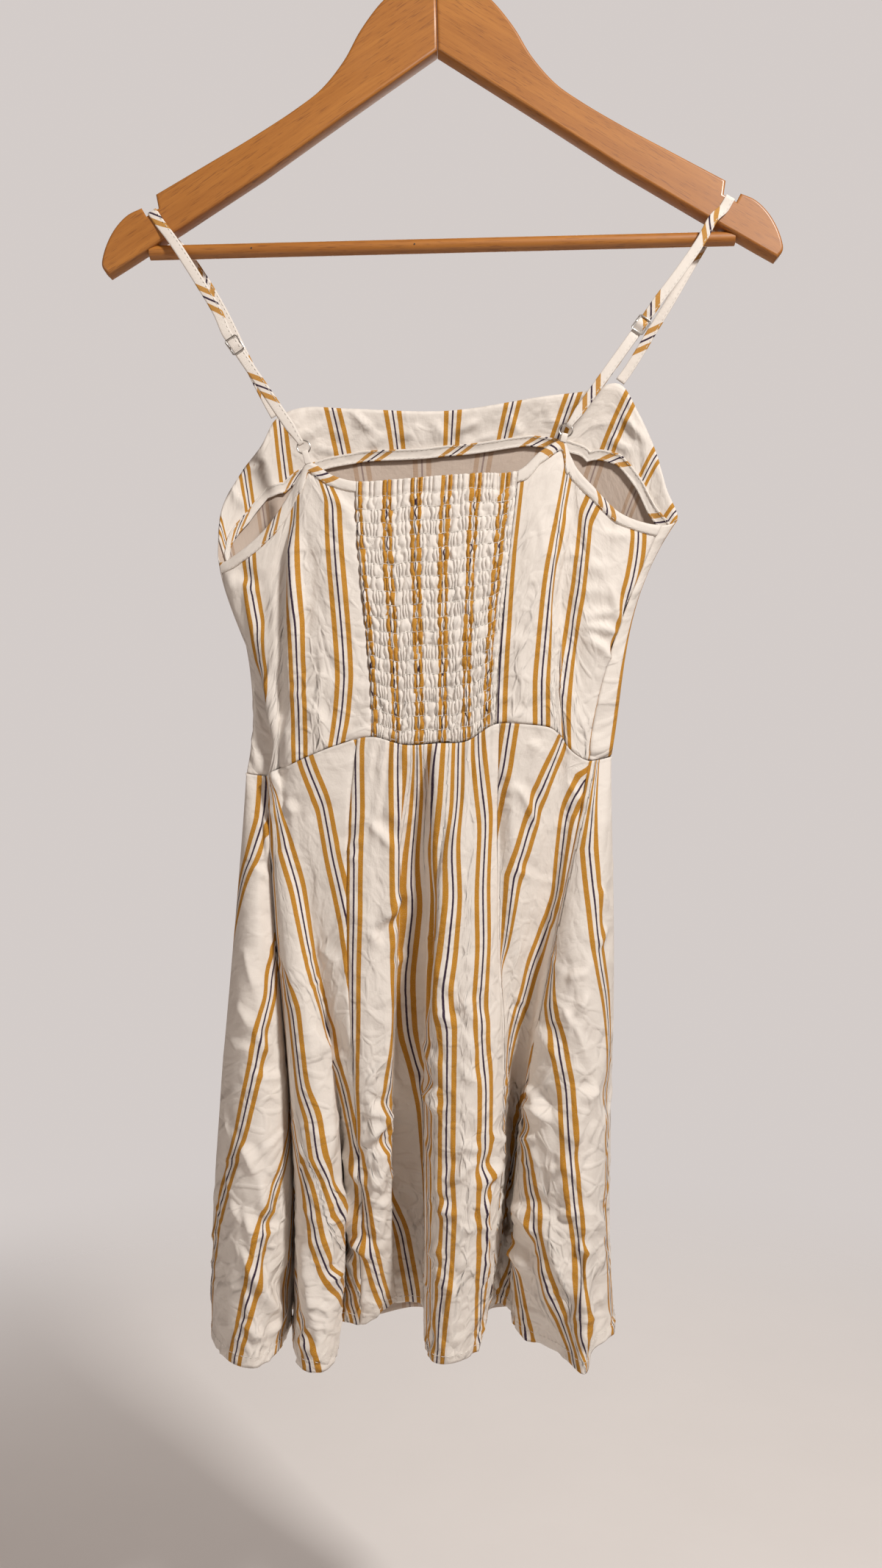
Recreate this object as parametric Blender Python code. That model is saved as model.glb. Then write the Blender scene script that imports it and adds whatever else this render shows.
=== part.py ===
"""A spaghetti-strap sundress with a smocked back, hanging on a wooden hanger.

The garment's back faces -Y, +Z is up, and the origin is the inside top of the
hanger's hook, where it hangs on a rod.  Tables are in millimetres.
"""
import math

import bmesh
import bpy
from mathutils import Matrix, Vector

MM = 0.001
SHARP = math.radians(50)  # edges sharper than this are not shaded smooth

# Cloth
CLOTH = 1.2               # wall of a garment panel
FACING = 1.0              # wall of the front facing
BINDING = 1.0             # wall of a bias binding
BINDING_WIDTH = 6.4
STEEPEST = 0.45           # most that a slanting edge widens the strip along it
SEAM_GAP = 0.3            # between neighbouring panels
LAYER_GAP = 0.4           # between a panel and what lies on it
WAIST_GAP = 0.6           # between bodice and skirt

# Smocking of the centre back
SMOCK_GATHERS = 46
SMOCK_ROWS = 19
SMOCK_HEADER = 10.0       # ruffle above the first elastic row
SMOCK_PUFF = 0.9          # how far a puff stands above the cloth's outer face
SMOCK_PINCH = 0.35        # how far an elastic row sinks below it
SMOCK_INSIDE_STEP = 2     # elastic rows between two rows of the plain inside

# Straps and their metal
STRAP_WIDTH = 6.4
STRAP_THICK = 0.9
STRAP_NECK = 4.0          # bunched width where a strap or tab passes a ring
STRAP_STEP = 5.0          # between the cross-sections of a strap
TAB_STEP = 1.5            # between those of a ring's tab
STRAP_TWIST = 45.0        # run over which a strap turns flat to the notch
RING_BUNCH = (6.0, 15.0)  # from the ring: where the strap is bunched, and where wide
RING_STAND = 1.35         # how far a strap or tab stands off the ring's plane
RING_RADIUS = 4.2
RING_SIDES = 20
WIRE = 1.0
SLIDER_WIDTH = 9.2
SLIDER_HEIGHT = 11.5
SLIDER_RIM = 1.05
SLIDER_THICK = 1.0
SLIDER_CORNER = 1.2       # cut off each outer corner
CLEARANCE = 0.3

# Hanger
HANGER_TILT = math.radians(1.4)     # the left end hangs lower
ARM_THICK = 12.0
ARM_ROUND = 1.5
BAR_RADIUS = 4.5
BAR_SIDES = 16
BAR_LEVEL = -256.8
HOOK_WIRE = 3.6
HOOK_INNER_RADIUS = 19.0
HOOK_SHANK = 30.0         # straight wire above the wood
HOOK_ELBOW = (2.5, 39.0)  # where the shank bends into the round
HOOK_ARC = (-52, 204)     # degrees round the hook, from the elbow to the tip
HOOK_ARC_STEP = 16
HOOK_STEP = 6.0           # between the wire's cross-sections
OUTLINE_STEP = 14.0       # along the arm's shoulder
END_STEP = 7.0            # round the arm's end

# How far down each line of cloth its second and third tables lie
BODICE_LEVELS = (0.0, 0.38, 0.68, 1.0)
SKIRT_LEVELS = (0.0, 0.28, 0.62, 1.0)
BODICE_ROWS = 11
FACING_ROWS = 4
NEAR_ROUND = 0.03         # a normal's reach, round the body in lines
NEAR_ALONG = 0.01         # and down it
FRONT_ROWS = (0.0, 0.045, 0.09, 0.135, 0.18, 0.23, 0.3, 0.4, 0.52, 0.68, 0.84, 1.0)
SKIRT_ROWS = 12

# Lines of the bodice, round from the left side seam across the back to the
# right side seam and back across the front.
# name, top edge x y z, chest x y, ribs x y, waist x y z
BODICE_LINES = (
    ("side_left", -139, 3, -463, -122, 2, -106, 2, -108, 1, -603),
    ("left_1", -124, -2, -456, -115, -4, -105, -4, -107, -5, -603),
    ("left_2", -106, -5, -440, -104, -7, -102, -7, -103, -7, -600),
    ("fold_left_low", -91, -7, -418, -95, -6, -98, -6, -99, -7, -598),
    ("fold_left_high", -85, -9, -408, -90, -13, -93, -14, -94, -13, -597),
    ("peak_left", -80, -10, -401, -79, -15, -80, -16, -83, -16, -592),
    ("left_3", -64, -12, -410, -63, -17, -60, -18, -63, -18, -584),
    ("smock_left", -49, -13, -414, -46, -17, -41, -18, -39, -18, -578),
    ("smock_1", -23, -14, -413, -22, -18, -20, -19, -18, -19, -583),
    ("smock_2", 3, -15, -411, 2, -18, 1, -19, 2, -19, -582),
    ("smock_3", 29, -14, -409, 26, -18, 22, -19, 21, -19, -581),
    ("smock_right", 55, -13, -407, 48, -17, 43, -18, 40, -18, -570),
    ("right_1", 70, -12, -394, 63, -17, 60, -18, 59, -18, -570),
    ("peak_right", 84, -10, -387, 77, -15, 74, -16, 75, -16, -572),
    ("fold_right_high", 89, -9, -397, 80, -13, 76, -14, 80, -13.5, -575),
    ("fold_right_low", 93, -8, -404, 85, -6, 82, -5, 85, -7, -580),
    ("right_2", 104, -7, -416, 97, -9, 91, -9, 89, -9, -586),
    ("right_3", 123, -4, -433, 113, -7, 100, -8, 96, -7, -591),
    ("side_right", 149, 1, -439, 125, -2, 110, -4, 102, -4, -593),
    ("under_right", 161, 6, -434, 133, 6, 124, 4, 117, 4, -590),
    ("arm_right_1", 155, 11, -413, 128, 16, 120, 14, 110, 13, -590),
    ("arm_right_2", 148, 15, -386, 119, 21, 109, 20, 99, 18, -590),
    ("arm_right_3", 137, 16, -361, 107, 24, 94, 23, 84, 20, -588),
    ("front_peak_right", 124, 15, -342, 92, 26, 80, 24, 70, 21, -586),
    ("neck_right_1", 103, 17, -346, 75, 27, 62, 25, 55, 22, -585),
    ("neck_right_2", 74, 19, -349, 50, 28, 39, 26, 33, 23, -584),
    ("neck_centre", 10, 21, -358, 6, 29, 2, 27, -2, 24, -584),
    ("neck_left_2", -54, 20, -357, -40, 28, -38, 26, -36, 23, -585),
    ("neck_left_1", -88, 18, -357, -74, 26, -66, 25, -61, 22, -587),
    ("front_peak_left", -104, 15, -365, -94, 25, -84, 24, -78, 21, -589),
    ("arm_left_3", -114, 15, -383, -105, 22, -97, 22, -92, 19, -592),
    ("arm_left_2", -127, 14, -401, -116, 19, -108, 19, -103, 16, -595),
    ("arm_left_1", -139, 10, -425, -125, 13, -116, 14, -115, 11, -598),
    ("under_left", -141, 6, -448, -125, 7, -118, 6, -122, 4, -601),
)

# How deep the facing hangs below the front's top edge at each bodice line
FACING_DEPTHS = (
    ("under_right", 12), ("arm_right_1", 18), ("arm_right_2", 25),
    ("arm_right_3", 34), ("front_peak_right", 51), ("neck_right_1", 39),
    ("neck_right_2", 32), ("neck_centre", 29), ("neck_left_2", 34),
    ("neck_left_1", 43), ("front_peak_left", 48), ("arm_left_3", 34),
    ("arm_left_2", 32), ("arm_left_1", 25), ("under_left", 16),
)

# Fold lines of the skirt, round the same way, one table for each panel.
# A panel starts at its seam, its first row; the share says how far along the
# panel's waist edge a fold line starts.
# name, share of waist edge, hip x y, knee x y, hem x y z
BACK_LEFT_GORE = (
    ("side_left", 0.0, -102, -4, -93, 8, -96, 33, -975),
    ("lobe_b_left", 0.12, -98, -12, -90, -8, -90, -1, -976),
    ("lobe_b_front", 0.25, -94, -17, -82, -24, -80, -29, -977),
    ("lobe_b_right", 0.4, -87, -18, -71, -27, -68, -29, -977),
    ("lobe_b_edge", 0.52, -82, -14, -62, -15, -62, -4, -975),
    ("valley_bc", 0.62, -78, -10, -61, 2, -65, 24, -972),
    ("lobe_c_left", 0.8, -69, -14, -57, -9, -57, 14, -965),
)
CENTRE_BACK = (
    ("seam_left", 0.0, -55, -18, -50, -17, -48, 9, -965),
    ("lobe_c_front", 0.18, -40, -21, -39, -22, -37, 11, -960),
    ("lobe_c_edge", 0.32, -23, -17, -27, -13, -27, 22, -956),
    ("valley_cd_left", 0.39, -19, -5, -26, 12, -25, 46, -966),
    ("valley_cd_right", 0.49, -6, -3, -8, 15, -9, 50, -968),
    ("lobe_d_left", 0.56, -2, -14, -4, -10, -4, -4, -975),
    ("lobe_d_front_l", 0.65, 6, -22, 4, -28, 3, -21, -976),
    ("lobe_d_front_r", 0.78, 20, -24, 19, -32, 14, -20, -976),
    ("lobe_d_right", 0.91, 34, -21, 37, -25, 28, -6, -975),
)
BACK_RIGHT_GORE = (
    ("seam_right", 0.0, 43, -14, 46, -8, 34, 16, -971),
    ("valley_de_left", 0.27, 53, -11, 50, 8, 38, 42, -968),
    ("valley_de_mid", 0.562, 67, -3, 55, 19, 46, 50, -968),
    ("valley_de_right", 0.78, 75, 1, 59, 14, 54, 38, -968),
)
FRONT_RIGHT_GORE = (
    ("side_right", 0.0, 80, -10, 58, -2, 55, 16, -969),
    ("lobe_e_left", 0.035, 86, -18, 64, -16, 62, 7, -973),
    ("lobe_e_mid", 0.075, 94, -21, 75, -25, 74, 1, -975),
    ("lobe_e_right", 0.115, 103, -20, 89, -28, 85, -14, -976),
    ("lobe_e_edge", 0.15, 110, -13, 102, -22, 95, -32, -978),
    ("lobe_f_left", 0.19, 116, -3, 111, -8, 104, -5, -975),
    ("lobe_f", 0.25, 119, 7, 116, 7, 116, 9, -974),
    ("outline_right", 0.36, 119, 17, 119, 24, 123, 33, -974),
    ("front_right_1", 0.58, 111, 26, 110, 38, 116, 54, -975),
)
CENTRE_FRONT = (
    ("front_seam_right", 0.0, 74, 31, 77, 43, 84, 57, -976),
    ("front_a", 0.22, 46, 32, 46, 49, 52, 66, -977),
    ("front_b", 0.42, 21, 31, 20, 42, 21, 52, -977),
    ("front_c", 0.61, -5, 32, -10, 48, -12, 65, -977),
    ("front_d", 0.8, -31, 31, -39, 41, -46, 50, -977),
)
FRONT_LEFT_GORE = (
    ("front_seam_left", 0.0, -61, 30, -72, 44, -82, 60, -976),
    ("front_left_1", 0.27, -94, 26, -107, 39, -115, 55, -976),
    ("front_left_2", 0.52, -117, 20, -130, 31, -136, 50, -975),
    ("front_left_3", 0.7, -127, 13, -140, 23, -146, 38, -975),
    ("outline_left", 0.81, -130, 4, -141, 6, -147, 18, -975),
    ("lobe_a_left", 0.85, -125, -6, -133, -9, -135, -10, -976),
    ("lobe_a_mid", 0.89, -118, -12, -121, -20, -124, -22, -977),
    ("lobe_a_right", 0.93, -112, -13, -108, -22, -112, -26, -977),
    ("lobe_a_edge", 0.965, -107, -9, -99, -13, -103, -13, -976),
    ("valley_ab", 0.985, -104, -7, -95, -3, -98, 8, -975),
)
# Where the two front seams of the skirt meet the bodice's waist, in lines
FRONT_SEAM_RIGHT = 24.3
FRONT_SEAM_LEFT = 28.3

# One arm of the hanger, x outwards and z down from the hook: its shoulder and
# its end past the strap notch are smooth curves, the rest straight runs.
ARM_SHOULDER = ((0.0, -87.0), (14, -87.5), (26, -92), (36, -100), (50, -118),
                (61, -137), (76, -155), (92, -167), (121, -185), (152, -202.5), (185, -221))
NOTCH_FLOOR = ((183.5, -230.0), (191.5, -235.0))
ARM_END = ((194.5, -229.5), (204, -234), (213, -243.5), (219.5, -257), (221, -267), (217, -272))
ARM_UNDERSIDE = ((206, -265.5), (169, -243), (116, -210), (60, -172), (0.0, -132))

# Routes of the straps: x y z from the front's peak up to the hanger's notch,
# and from the notch down to the slider; the ring's and the slider's middles.
STRAPS = {
    "left": {
        "far": ((-104.6, 15, -363.4), (-109, 14.6, -355.5), (-115, 13.6, -344), (-126, 11, -322),
                (-141, 10, -292), (-163, 8.8, -258)),
        "near": ((-168, -8.6, -256.5), (-151, -9.6, -283), (-138.5, -10, -304)),
        "slider": (-127.5, -10.2, -325),
        "ring": (-83, -10.5, -391),
        "peak": (-80.3, -401),
        "notch_side": -1,
    },
    "right": {
        "far": ((124.6, 15, -340.4), (130, 14.6, -333), (137, 13.8, -322), (146, 12.6, -307),
                (157, 10.2, -289), (172, 9, -263), (184, 8, -243)),
        "near": ((182, -8.4, -242), (173, -9, -258), (158.5, -9.8, -279), (145, -10.1, -297)),
        "slider": (134.5, -10.3, -312),
        "ring": (86, -10.5, -380),
        "peak": (84.2, -387),
        "notch_side": 1,
    },
}

# Beside the notch a strap passes these two heights below its floor, and the
# middle of the floor is the sixth of the route's points there.
NOTCH_HANG = (-9.0, -4.0)
NOTCH_MIDDLE = 5

# A strap beyond the slider and short of it, from the frame's bars: how far
# along and how much of its weaving offset is left.
ABOVE_SLIDER = (4.5, 0.6)
BELOW_SLIDER = (5.0, 0.3)
# The doubled end, three places along it: beyond the low bar, off the weave.
DOUBLED = ((9.0, 0.4), (1.0, 0.5))
DOUBLED_END = (0.4, 0.25)

# Profile of a strap or tab round a ring: along from the ring's middle beyond
# the ring, and the shares of its stand off the ring's plane.
RING_LEAVE = 7.0
RING_TURN = (0.5, 0.95)
TAB_FOOT = 0.75
TAB_LIFT = 0.95

SUNDRESS = "sundress_on_hanger"


# ---------------------------------------------------------------- scene setup

for old in list(bpy.data.objects):
    bpy.data.objects.remove(old, do_unlink=True)

collection = bpy.data.collections.new(SUNDRESS)
bpy.context.scene.collection.children.link(collection)


def material(name, colour, roughness, metallic=0.0):
    made = bpy.data.materials.new(name)
    made.use_nodes = True
    shader = made.node_tree.nodes["Principled BSDF"]
    shader.inputs["Base Color"].default_value = (*colour, 1.0)
    shader.inputs["Roughness"].default_value = roughness
    shader.inputs["Metallic"].default_value = metallic
    return made


RIGHT_SIDE = material("cream_striped_viscose", (0.80, 0.76, 0.69), 0.85)
BOUND = material("cream_bias_binding", (0.78, 0.74, 0.67), 0.85)
WOOD = material("varnished_beech", (0.46, 0.21, 0.07), 0.35)
STEEL = material("nickel_plated_steel", (0.72, 0.72, 0.72), 0.25, 1.0)


def add_object(name, data, mat):
    made = bpy.data.objects.new(name, data)
    made.data.materials.append(mat)
    collection.objects.link(made)
    return made


def mesh_object(name, points, faces, mat):
    mesh = bpy.data.meshes.new(name)
    mesh.from_pydata([point * MM for point in points], [], faces)
    mesh.shade_smooth()
    mesh.set_sharp_from_angle(angle=SHARP)
    return add_object(name, mesh, mat)


# ------------------------------------------------------------- smooth curves

def through(p0, p1, p2, p3, t):
    """Point at t between p1 and p2 on a centripetal Catmull-Rom curve."""
    k1 = max((p1 - p0).length, 1e-6) ** 0.5
    k2 = k1 + max((p2 - p1).length, 1e-6) ** 0.5
    k3 = k2 + max((p3 - p2).length, 1e-6) ** 0.5
    u = k1 + t * (k2 - k1)
    a1 = p0.lerp(p1, u / k1)
    a2 = p1.lerp(p2, (u - k1) / (k2 - k1))
    a3 = p2.lerp(p3, (u - k2) / (k3 - k2))
    b1 = a1.lerp(a2, u / k2)
    b2 = a2.lerp(a3, (u - k1) / (k3 - k1))
    return b1.lerp(b2, (u - k1) / (k2 - k1))


def on_loop(points, s):
    """Point at s, counted in points, on the closed curve through them."""
    count = len(points)
    i = math.floor(s)
    picked = [points[(i + k) % count] for k in (-1, 0, 1, 2)]
    return through(*picked, s - i)


def open_curve(points, step):
    """The open curve through points, with a point about every step."""
    ends = [2 * points[0] - points[1]] + list(points) + [2 * points[-1] - points[-2]]
    made = []
    for i in range(1, len(ends) - 2):
        pieces = max(1, round((ends[i + 1] - ends[i]).length / step))
        for k in range(pieces):
            made.append(through(*ends[i - 1:i + 3], k / pieces))
    made.append(points[-1].copy())
    return made


def through_levels(values, levels, v):
    """Lagrange's cubic through one value at each of the four levels."""
    total = values[0] * 0.0
    for i, value in enumerate(values):
        weight = 1.0
        for k, level in enumerate(levels):
            if k != i:
                weight *= (v - level) / (levels[i] - level)
        total = total + value * weight
    return total


# ------------------------------------------------------------ cloth surfaces

class Tube:
    """Cloth round the body: s counts lines round it, v runs down from 0 to 1."""

    def point(self, s, v):
        raise NotImplementedError

    def normal(self, s, v):
        above = max(0.0, v - NEAR_ALONG)
        below = min(1.0, v + NEAR_ALONG)
        across = self.point(s + NEAR_ROUND, v) - self.point(s - NEAR_ROUND, v)
        down = self.point(s, below) - self.point(s, above)
        if v == self.waist:
            down = Vector((0, 0, -1))
        return down.cross(across).normalized()

    def length(self, s):
        return (self.point(s, 1.0) - self.point(s, 0.0)).length


class Bodice(Tube):
    waist = 1.0

    def __init__(self):
        tops, chests, ribs, waists = [], [], [], []
        for _, tx, ty, tz, cx, cy, rx, ry, wx, wy, wz in BODICE_LINES:
            drop = wz - tz
            tops.append(Vector((tx, ty, tz)))
            chests.append(Vector((cx, cy, tz + drop * BODICE_LEVELS[1])))
            ribs.append(Vector((rx, ry, tz + drop * BODICE_LEVELS[2])))
            waists.append(Vector((wx, wy, wz)))
        self.loops = (tops, chests, ribs, waists)

    def point(self, s, v):
        at = [on_loop(loop, s) for loop in self.loops]
        return through_levels(at, BODICE_LEVELS, v)


LINE = {row[0]: index for index, row in enumerate(BODICE_LINES)}
LINE_COUNT = len(BODICE_LINES)
bodice = Bodice()

# panel, its fold lines, its waist edge from line to line
SKIRT_PANELS = (
    ("skirt_back_left", BACK_LEFT_GORE, LINE["side_left"], LINE["left_3"] + 0.62),
    ("skirt_back_centre", CENTRE_BACK, LINE["left_3"] + 0.62, LINE["smock_right"] + 0.15),
    ("skirt_back_right", BACK_RIGHT_GORE, LINE["smock_right"] + 0.15, LINE["side_right"]),
    ("skirt_front_right", FRONT_RIGHT_GORE, LINE["side_right"], FRONT_SEAM_RIGHT),
    ("skirt_front_centre", CENTRE_FRONT, FRONT_SEAM_RIGHT, FRONT_SEAM_LEFT),
    ("skirt_front_left", FRONT_LEFT_GORE, FRONT_SEAM_LEFT, LINE_COUNT),
)


class Skirt(Tube):
    waist = 0.0

    def __init__(self):
        self.waist_lines, hips, knees, hems = [], [], [], []
        for _, folds, start, end in SKIRT_PANELS:
            for _, share, hx, hy, kx, ky, ex, ey, ez in folds:
                line = start + (end - start) * share
                top = bodice.point(line, 1.0).z
                self.waist_lines.append(line)
                hips.append(Vector((hx, hy, top + (ez - top) * SKIRT_LEVELS[1])))
                knees.append(Vector((kx, ky, top + (ez - top) * SKIRT_LEVELS[2])))
                hems.append(Vector((ex, ey, ez)))
        self.waist_lines.append(LINE_COUNT)
        self.loops = (hips, knees, hems)

    def waist_point(self, s):
        s = s % len(self.loops[0])
        i = math.floor(s)
        line = self.waist_lines[i] + (self.waist_lines[i + 1] - self.waist_lines[i]) * (s - i)
        return bodice.point(line, 1.0)

    def point(self, s, v):
        at = [self.waist_point(s)] + [on_loop(loop, s) for loop in self.loops]
        return through_levels(at, SKIRT_LEVELS, v)


skirt = Skirt()


def shares(count):
    return [k / count for k in range(count + 1)]


def span(start, end, per_line=2):
    """Places from line start to line end, per_line of them for each line."""
    count = max(1, round((end - start) * per_line))
    return [start + (end - start) * share for share in shares(count)]


def sheet_points(tube, columns, rows, lift, drop=None):
    """Points of a sheet lifted off the tube, its side edges half a gap in.

    rows is a function of the column's place that gives the shares down it.
    """
    grid = []
    for s in columns:
        grid.append([tube.point(s, v) for v in rows(s)])
    for edge, beside in ((0, 1), (-1, -2)):
        moved = []
        for at, inner in zip(grid[edge], grid[beside]):
            moved.append(at + (inner - at).normalized() * SEAM_GAP / 2)
        grid[edge] = moved
    for column, s in zip(grid, columns):
        for k, v in enumerate(rows(s)):
            column[k] = column[k] + tube.normal(s, max(0.0, min(1.0, v))) * lift
            if drop is not None and v == tube.waist:
                column[k].z += drop
    return grid


def wall(name, outer, inner, mat):
    """Closed wall between two grids of points with the same columns and rows."""
    columns = len(outer)
    rows = len(outer[0])
    points = [point for column in outer for point in column]
    points += [point for column in inner for point in column]
    offset = columns * rows

    def out(c, r):
        return c * rows + r

    def inn(c, r):
        return offset + c * rows + r

    faces = []
    for c in range(columns - 1):
        for r in range(rows - 1):
            faces.append((out(c, r), out(c, r + 1), out(c + 1, r + 1), out(c + 1, r)))
            faces.append((inn(c, r), inn(c + 1, r), inn(c + 1, r + 1), inn(c, r + 1)))
        faces.append((out(c, 0), out(c + 1, 0), inn(c + 1, 0), inn(c, 0)))
        last = rows - 1
        faces.append((out(c, last), inn(c, last), inn(c + 1, last), out(c + 1, last)))
    for r in range(rows - 1):
        faces.append((out(0, r), inn(0, r), inn(0, r + 1), out(0, r + 1)))
        last = columns - 1
        faces.append((out(last, r), out(last, r + 1), inn(last, r + 1), inn(last, r)))
    return mesh_object(name, points, faces, mat)


def cloth(name, tube, columns, rows, thick=CLOTH, centre=0.0, drop=None, mat=RIGHT_SIDE):
    """A wall of cloth of one thickness, centred a little off the tube."""
    outer = sheet_points(tube, columns, rows, centre + thick / 2, drop)
    inner = sheet_points(tube, columns, rows, centre - thick / 2, drop)
    return wall(name, outer, inner, mat)


# -------------------------------------------------------------------- bodice

def full_rows(_):
    return shares(BODICE_ROWS)


def make_bodice():
    left = span(LINE["side_left"], LINE["smock_left"])
    right = span(LINE["smock_right"], LINE["side_right"])
    front = span(LINE["side_right"], LINE_COUNT)
    raised = WAIST_GAP / 2
    cloth("back_panel_left", bodice, left, full_rows, drop=raised)
    cloth("back_panel_right", bodice, right, full_rows, drop=raised)
    cloth("front_bodice", bodice, front, lambda _: list(FRONT_ROWS), drop=raised)


def facing_depth(s):
    """Depth of the facing at place s on the front, between the table's lines."""
    depths = [depth for _, depth in FACING_DEPTHS]
    place = min(max(s - LINE["under_right"], 0.0), len(depths) - 1.001)
    i = math.floor(place)
    return depths[i] + (depths[i + 1] - depths[i]) * (place - i)


def edge_share(s, width):
    """Share down line s that a strip of this width along the top edge covers."""
    along = (bodice.point(s + 0.05, 0.0) - bodice.point(s - 0.05, 0.0)).normalized()
    down = (bodice.point(s, 0.05) - bodice.point(s, 0.0)).normalized()
    slant = max(STEEPEST, along.cross(down).length)
    return width / slant / bodice.length(s)


def make_facing():
    columns = span(LINE["under_right"], LINE["under_left"])
    off = -(CLOTH / 2 + LAYER_GAP + FACING / 2)

    def facing_rows(s):
        deep = facing_depth(s) / bodice.length(s)
        return [deep * share for share in shares(FACING_ROWS)]

    cloth("front_facing", bodice, columns, facing_rows, FACING, off)
    off -= FACING / 2 + LAYER_GAP + BINDING / 2

    def binding_rows(s):
        deep = facing_depth(s)
        return [(deep - BINDING_WIDTH * share) / bodice.length(s) for share in (1.0, 0.5, 0.0)]

    cloth("facing_binding", bodice, columns, binding_rows, BINDING, off, mat=BOUND)


def make_back_bindings():
    off = CLOTH / 2 + LAYER_GAP + BINDING / 2

    def binding_rows(s):
        deep = edge_share(s, BINDING_WIDTH)
        return [0.0, deep / 2, deep]

    left = span(LINE["side_left"], LINE["smock_left"])
    right = span(LINE["smock_right"], LINE["side_right"])
    cloth("back_binding_left", bodice, left, binding_rows, BINDING, off, mat=BOUND)
    cloth("back_binding_right", bodice, right, binding_rows, BINDING, off, mat=BOUND)


def make_smocking():
    """Centre back gathered on elastic: a small puff between each two gathers
    and rows, over a plain inside."""
    start = LINE["smock_left"]
    end = LINE["smock_right"]
    columns = [start + (end - start) * share for share in shares(SMOCK_GATHERS)]

    def elastic_rows(s):
        header = SMOCK_HEADER / bodice.length(s)
        below = [header + (1.0 - header) * k / (SMOCK_ROWS - 1) for k in range(SMOCK_ROWS)]
        return [0.0] + below

    raised = WAIST_GAP / 2
    pinched = sheet_points(bodice, columns, elastic_rows, CLOTH / 2 - SMOCK_PINCH, raised)
    inside = sheet_points(bodice, columns, elastic_rows, -CLOTH / 2, raised)
    rows = SMOCK_ROWS + 1
    points = [point for column in pinched for point in column]
    faces = []
    for c in range(SMOCK_GATHERS):
        for r in range(rows - 1):
            low = c * rows + r
            corners = (low, low + 1, low + rows + 1, low + rows)
            middle = sum((points[k] for k in corners), Vector()) / len(corners)
            s = (columns[c] + columns[c + 1]) / 2
            v = (elastic_rows(s)[r] + elastic_rows(s)[r + 1]) / 2
            puff = len(points)
            points.append(middle + bodice.normal(s, v) * (SMOCK_PUFF + SMOCK_PINCH))
            for k in range(len(corners)):
                faces.append((corners[k - 1], corners[k], puff))
    kept = sorted(set(range(0, rows - 1, SMOCK_INSIDE_STEP)) | {rows - 1})
    offset = len(points)
    for column in inside:
        points += [column[r] for r in kept]

    def inn(c, k):
        return offset + c * len(kept) + k

    last_row = rows - 1
    last_kept = len(kept) - 1
    for c in range(SMOCK_GATHERS):
        for k in range(last_kept):
            faces.append((inn(c, k), inn(c + 1, k), inn(c + 1, k + 1), inn(c, k + 1)))
        low = c * rows + last_row
        faces.append((c * rows, (c + 1) * rows, inn(c + 1, 0), inn(c, 0)))
        faces.append((low, inn(c, last_kept), inn(c + 1, last_kept), low + rows))
    for k in range(last_kept):
        edge = list(range(kept[k], kept[k + 1] + 1))
        faces.append([inn(0, k), inn(0, k + 1)] + edge[::-1])
        far = [SMOCK_GATHERS * rows + r for r in edge]
        faces.append([inn(SMOCK_GATHERS, k + 1), inn(SMOCK_GATHERS, k)] + far)
    return mesh_object("smocked_panel", points, faces, RIGHT_SIDE)


# --------------------------------------------------------------------- skirt

def make_skirt():
    start = 0
    for name, folds, _, _ in SKIRT_PANELS:
        columns = span(start, start + len(folds))
        cloth(name, skirt, columns, lambda _: shares(SKIRT_ROWS), drop=-WAIST_GAP / 2)
        start += len(folds)


# -------------------------------------------------------------------- hanger

def flat_outline(name, outlines, thick, rounding, mat):
    """A flat piece in the XZ plane from closed outlines, the first the outer."""
    curve = bpy.data.curves.new(name, "CURVE")
    curve.dimensions = "2D"
    curve.fill_mode = "BOTH"
    curve.extrude = (thick / 2 - rounding) * MM
    curve.bevel_depth = rounding * MM
    curve.bevel_resolution = 1
    curve.offset = -rounding * MM
    for outline in outlines:
        spline = curve.splines.new("POLY")
        spline.points.add(len(outline) - 1)
        spline.use_cyclic_u = True
        for point, (x, z) in zip(spline.points, outline):
            point.co = (x * MM, z * MM, 0.0, 1.0)
    made = add_object(name, curve, mat)
    made.rotation_euler = (math.pi / 2, 0.0, 0.0)
    return made


def arm_outline(side):
    shoulder = open_curve([Vector((x, z)).to_3d() for x, z in ARM_SHOULDER], OUTLINE_STEP)
    end = open_curve([Vector((x, z)).to_3d() for x, z in ARM_END], END_STEP)
    points = [(p.x, p.y) for p in shoulder] + list(NOTCH_FLOOR)
    points += [(p.x, p.y) for p in end] + list(ARM_UNDERSIDE)
    half_gap = SEAM_GAP / 2
    return [(side * max(x, half_gap), z) for x, z in points]


def underside_x(level):
    """How far out the arm's underside is at this level, near the bar's end."""
    (x1, z1), (x2, z2) = ARM_UNDERSIDE[:2]
    return x1 + (x2 - x1) * (level - z1) / (z2 - z1)


def make_bar():
    mesh = bpy.data.meshes.new("hanger_bar")
    made = bmesh.new()
    bmesh.ops.create_cone(made, cap_ends=True, segments=BAR_SIDES, radius1=BAR_RADIUS * MM,
                          radius2=BAR_RADIUS * MM, depth=2 * MM)
    turned = Matrix.Rotation(math.pi / 2, 3, "Y")
    bmesh.ops.rotate(made, cent=(0, 0, 0), matrix=turned, verts=made.verts)
    for vert in made.verts:
        vert.co.z += BAR_LEVEL * MM
        reach = underside_x(vert.co.z / MM) - 2 * CLEARANCE
        vert.co.x = math.copysign(reach * MM, vert.co.x)
    made.to_mesh(mesh)
    made.free()
    mesh.shade_smooth()
    mesh.set_sharp_from_angle(angle=SHARP)
    return add_object("hanger_bar", mesh, WOOD)


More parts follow.
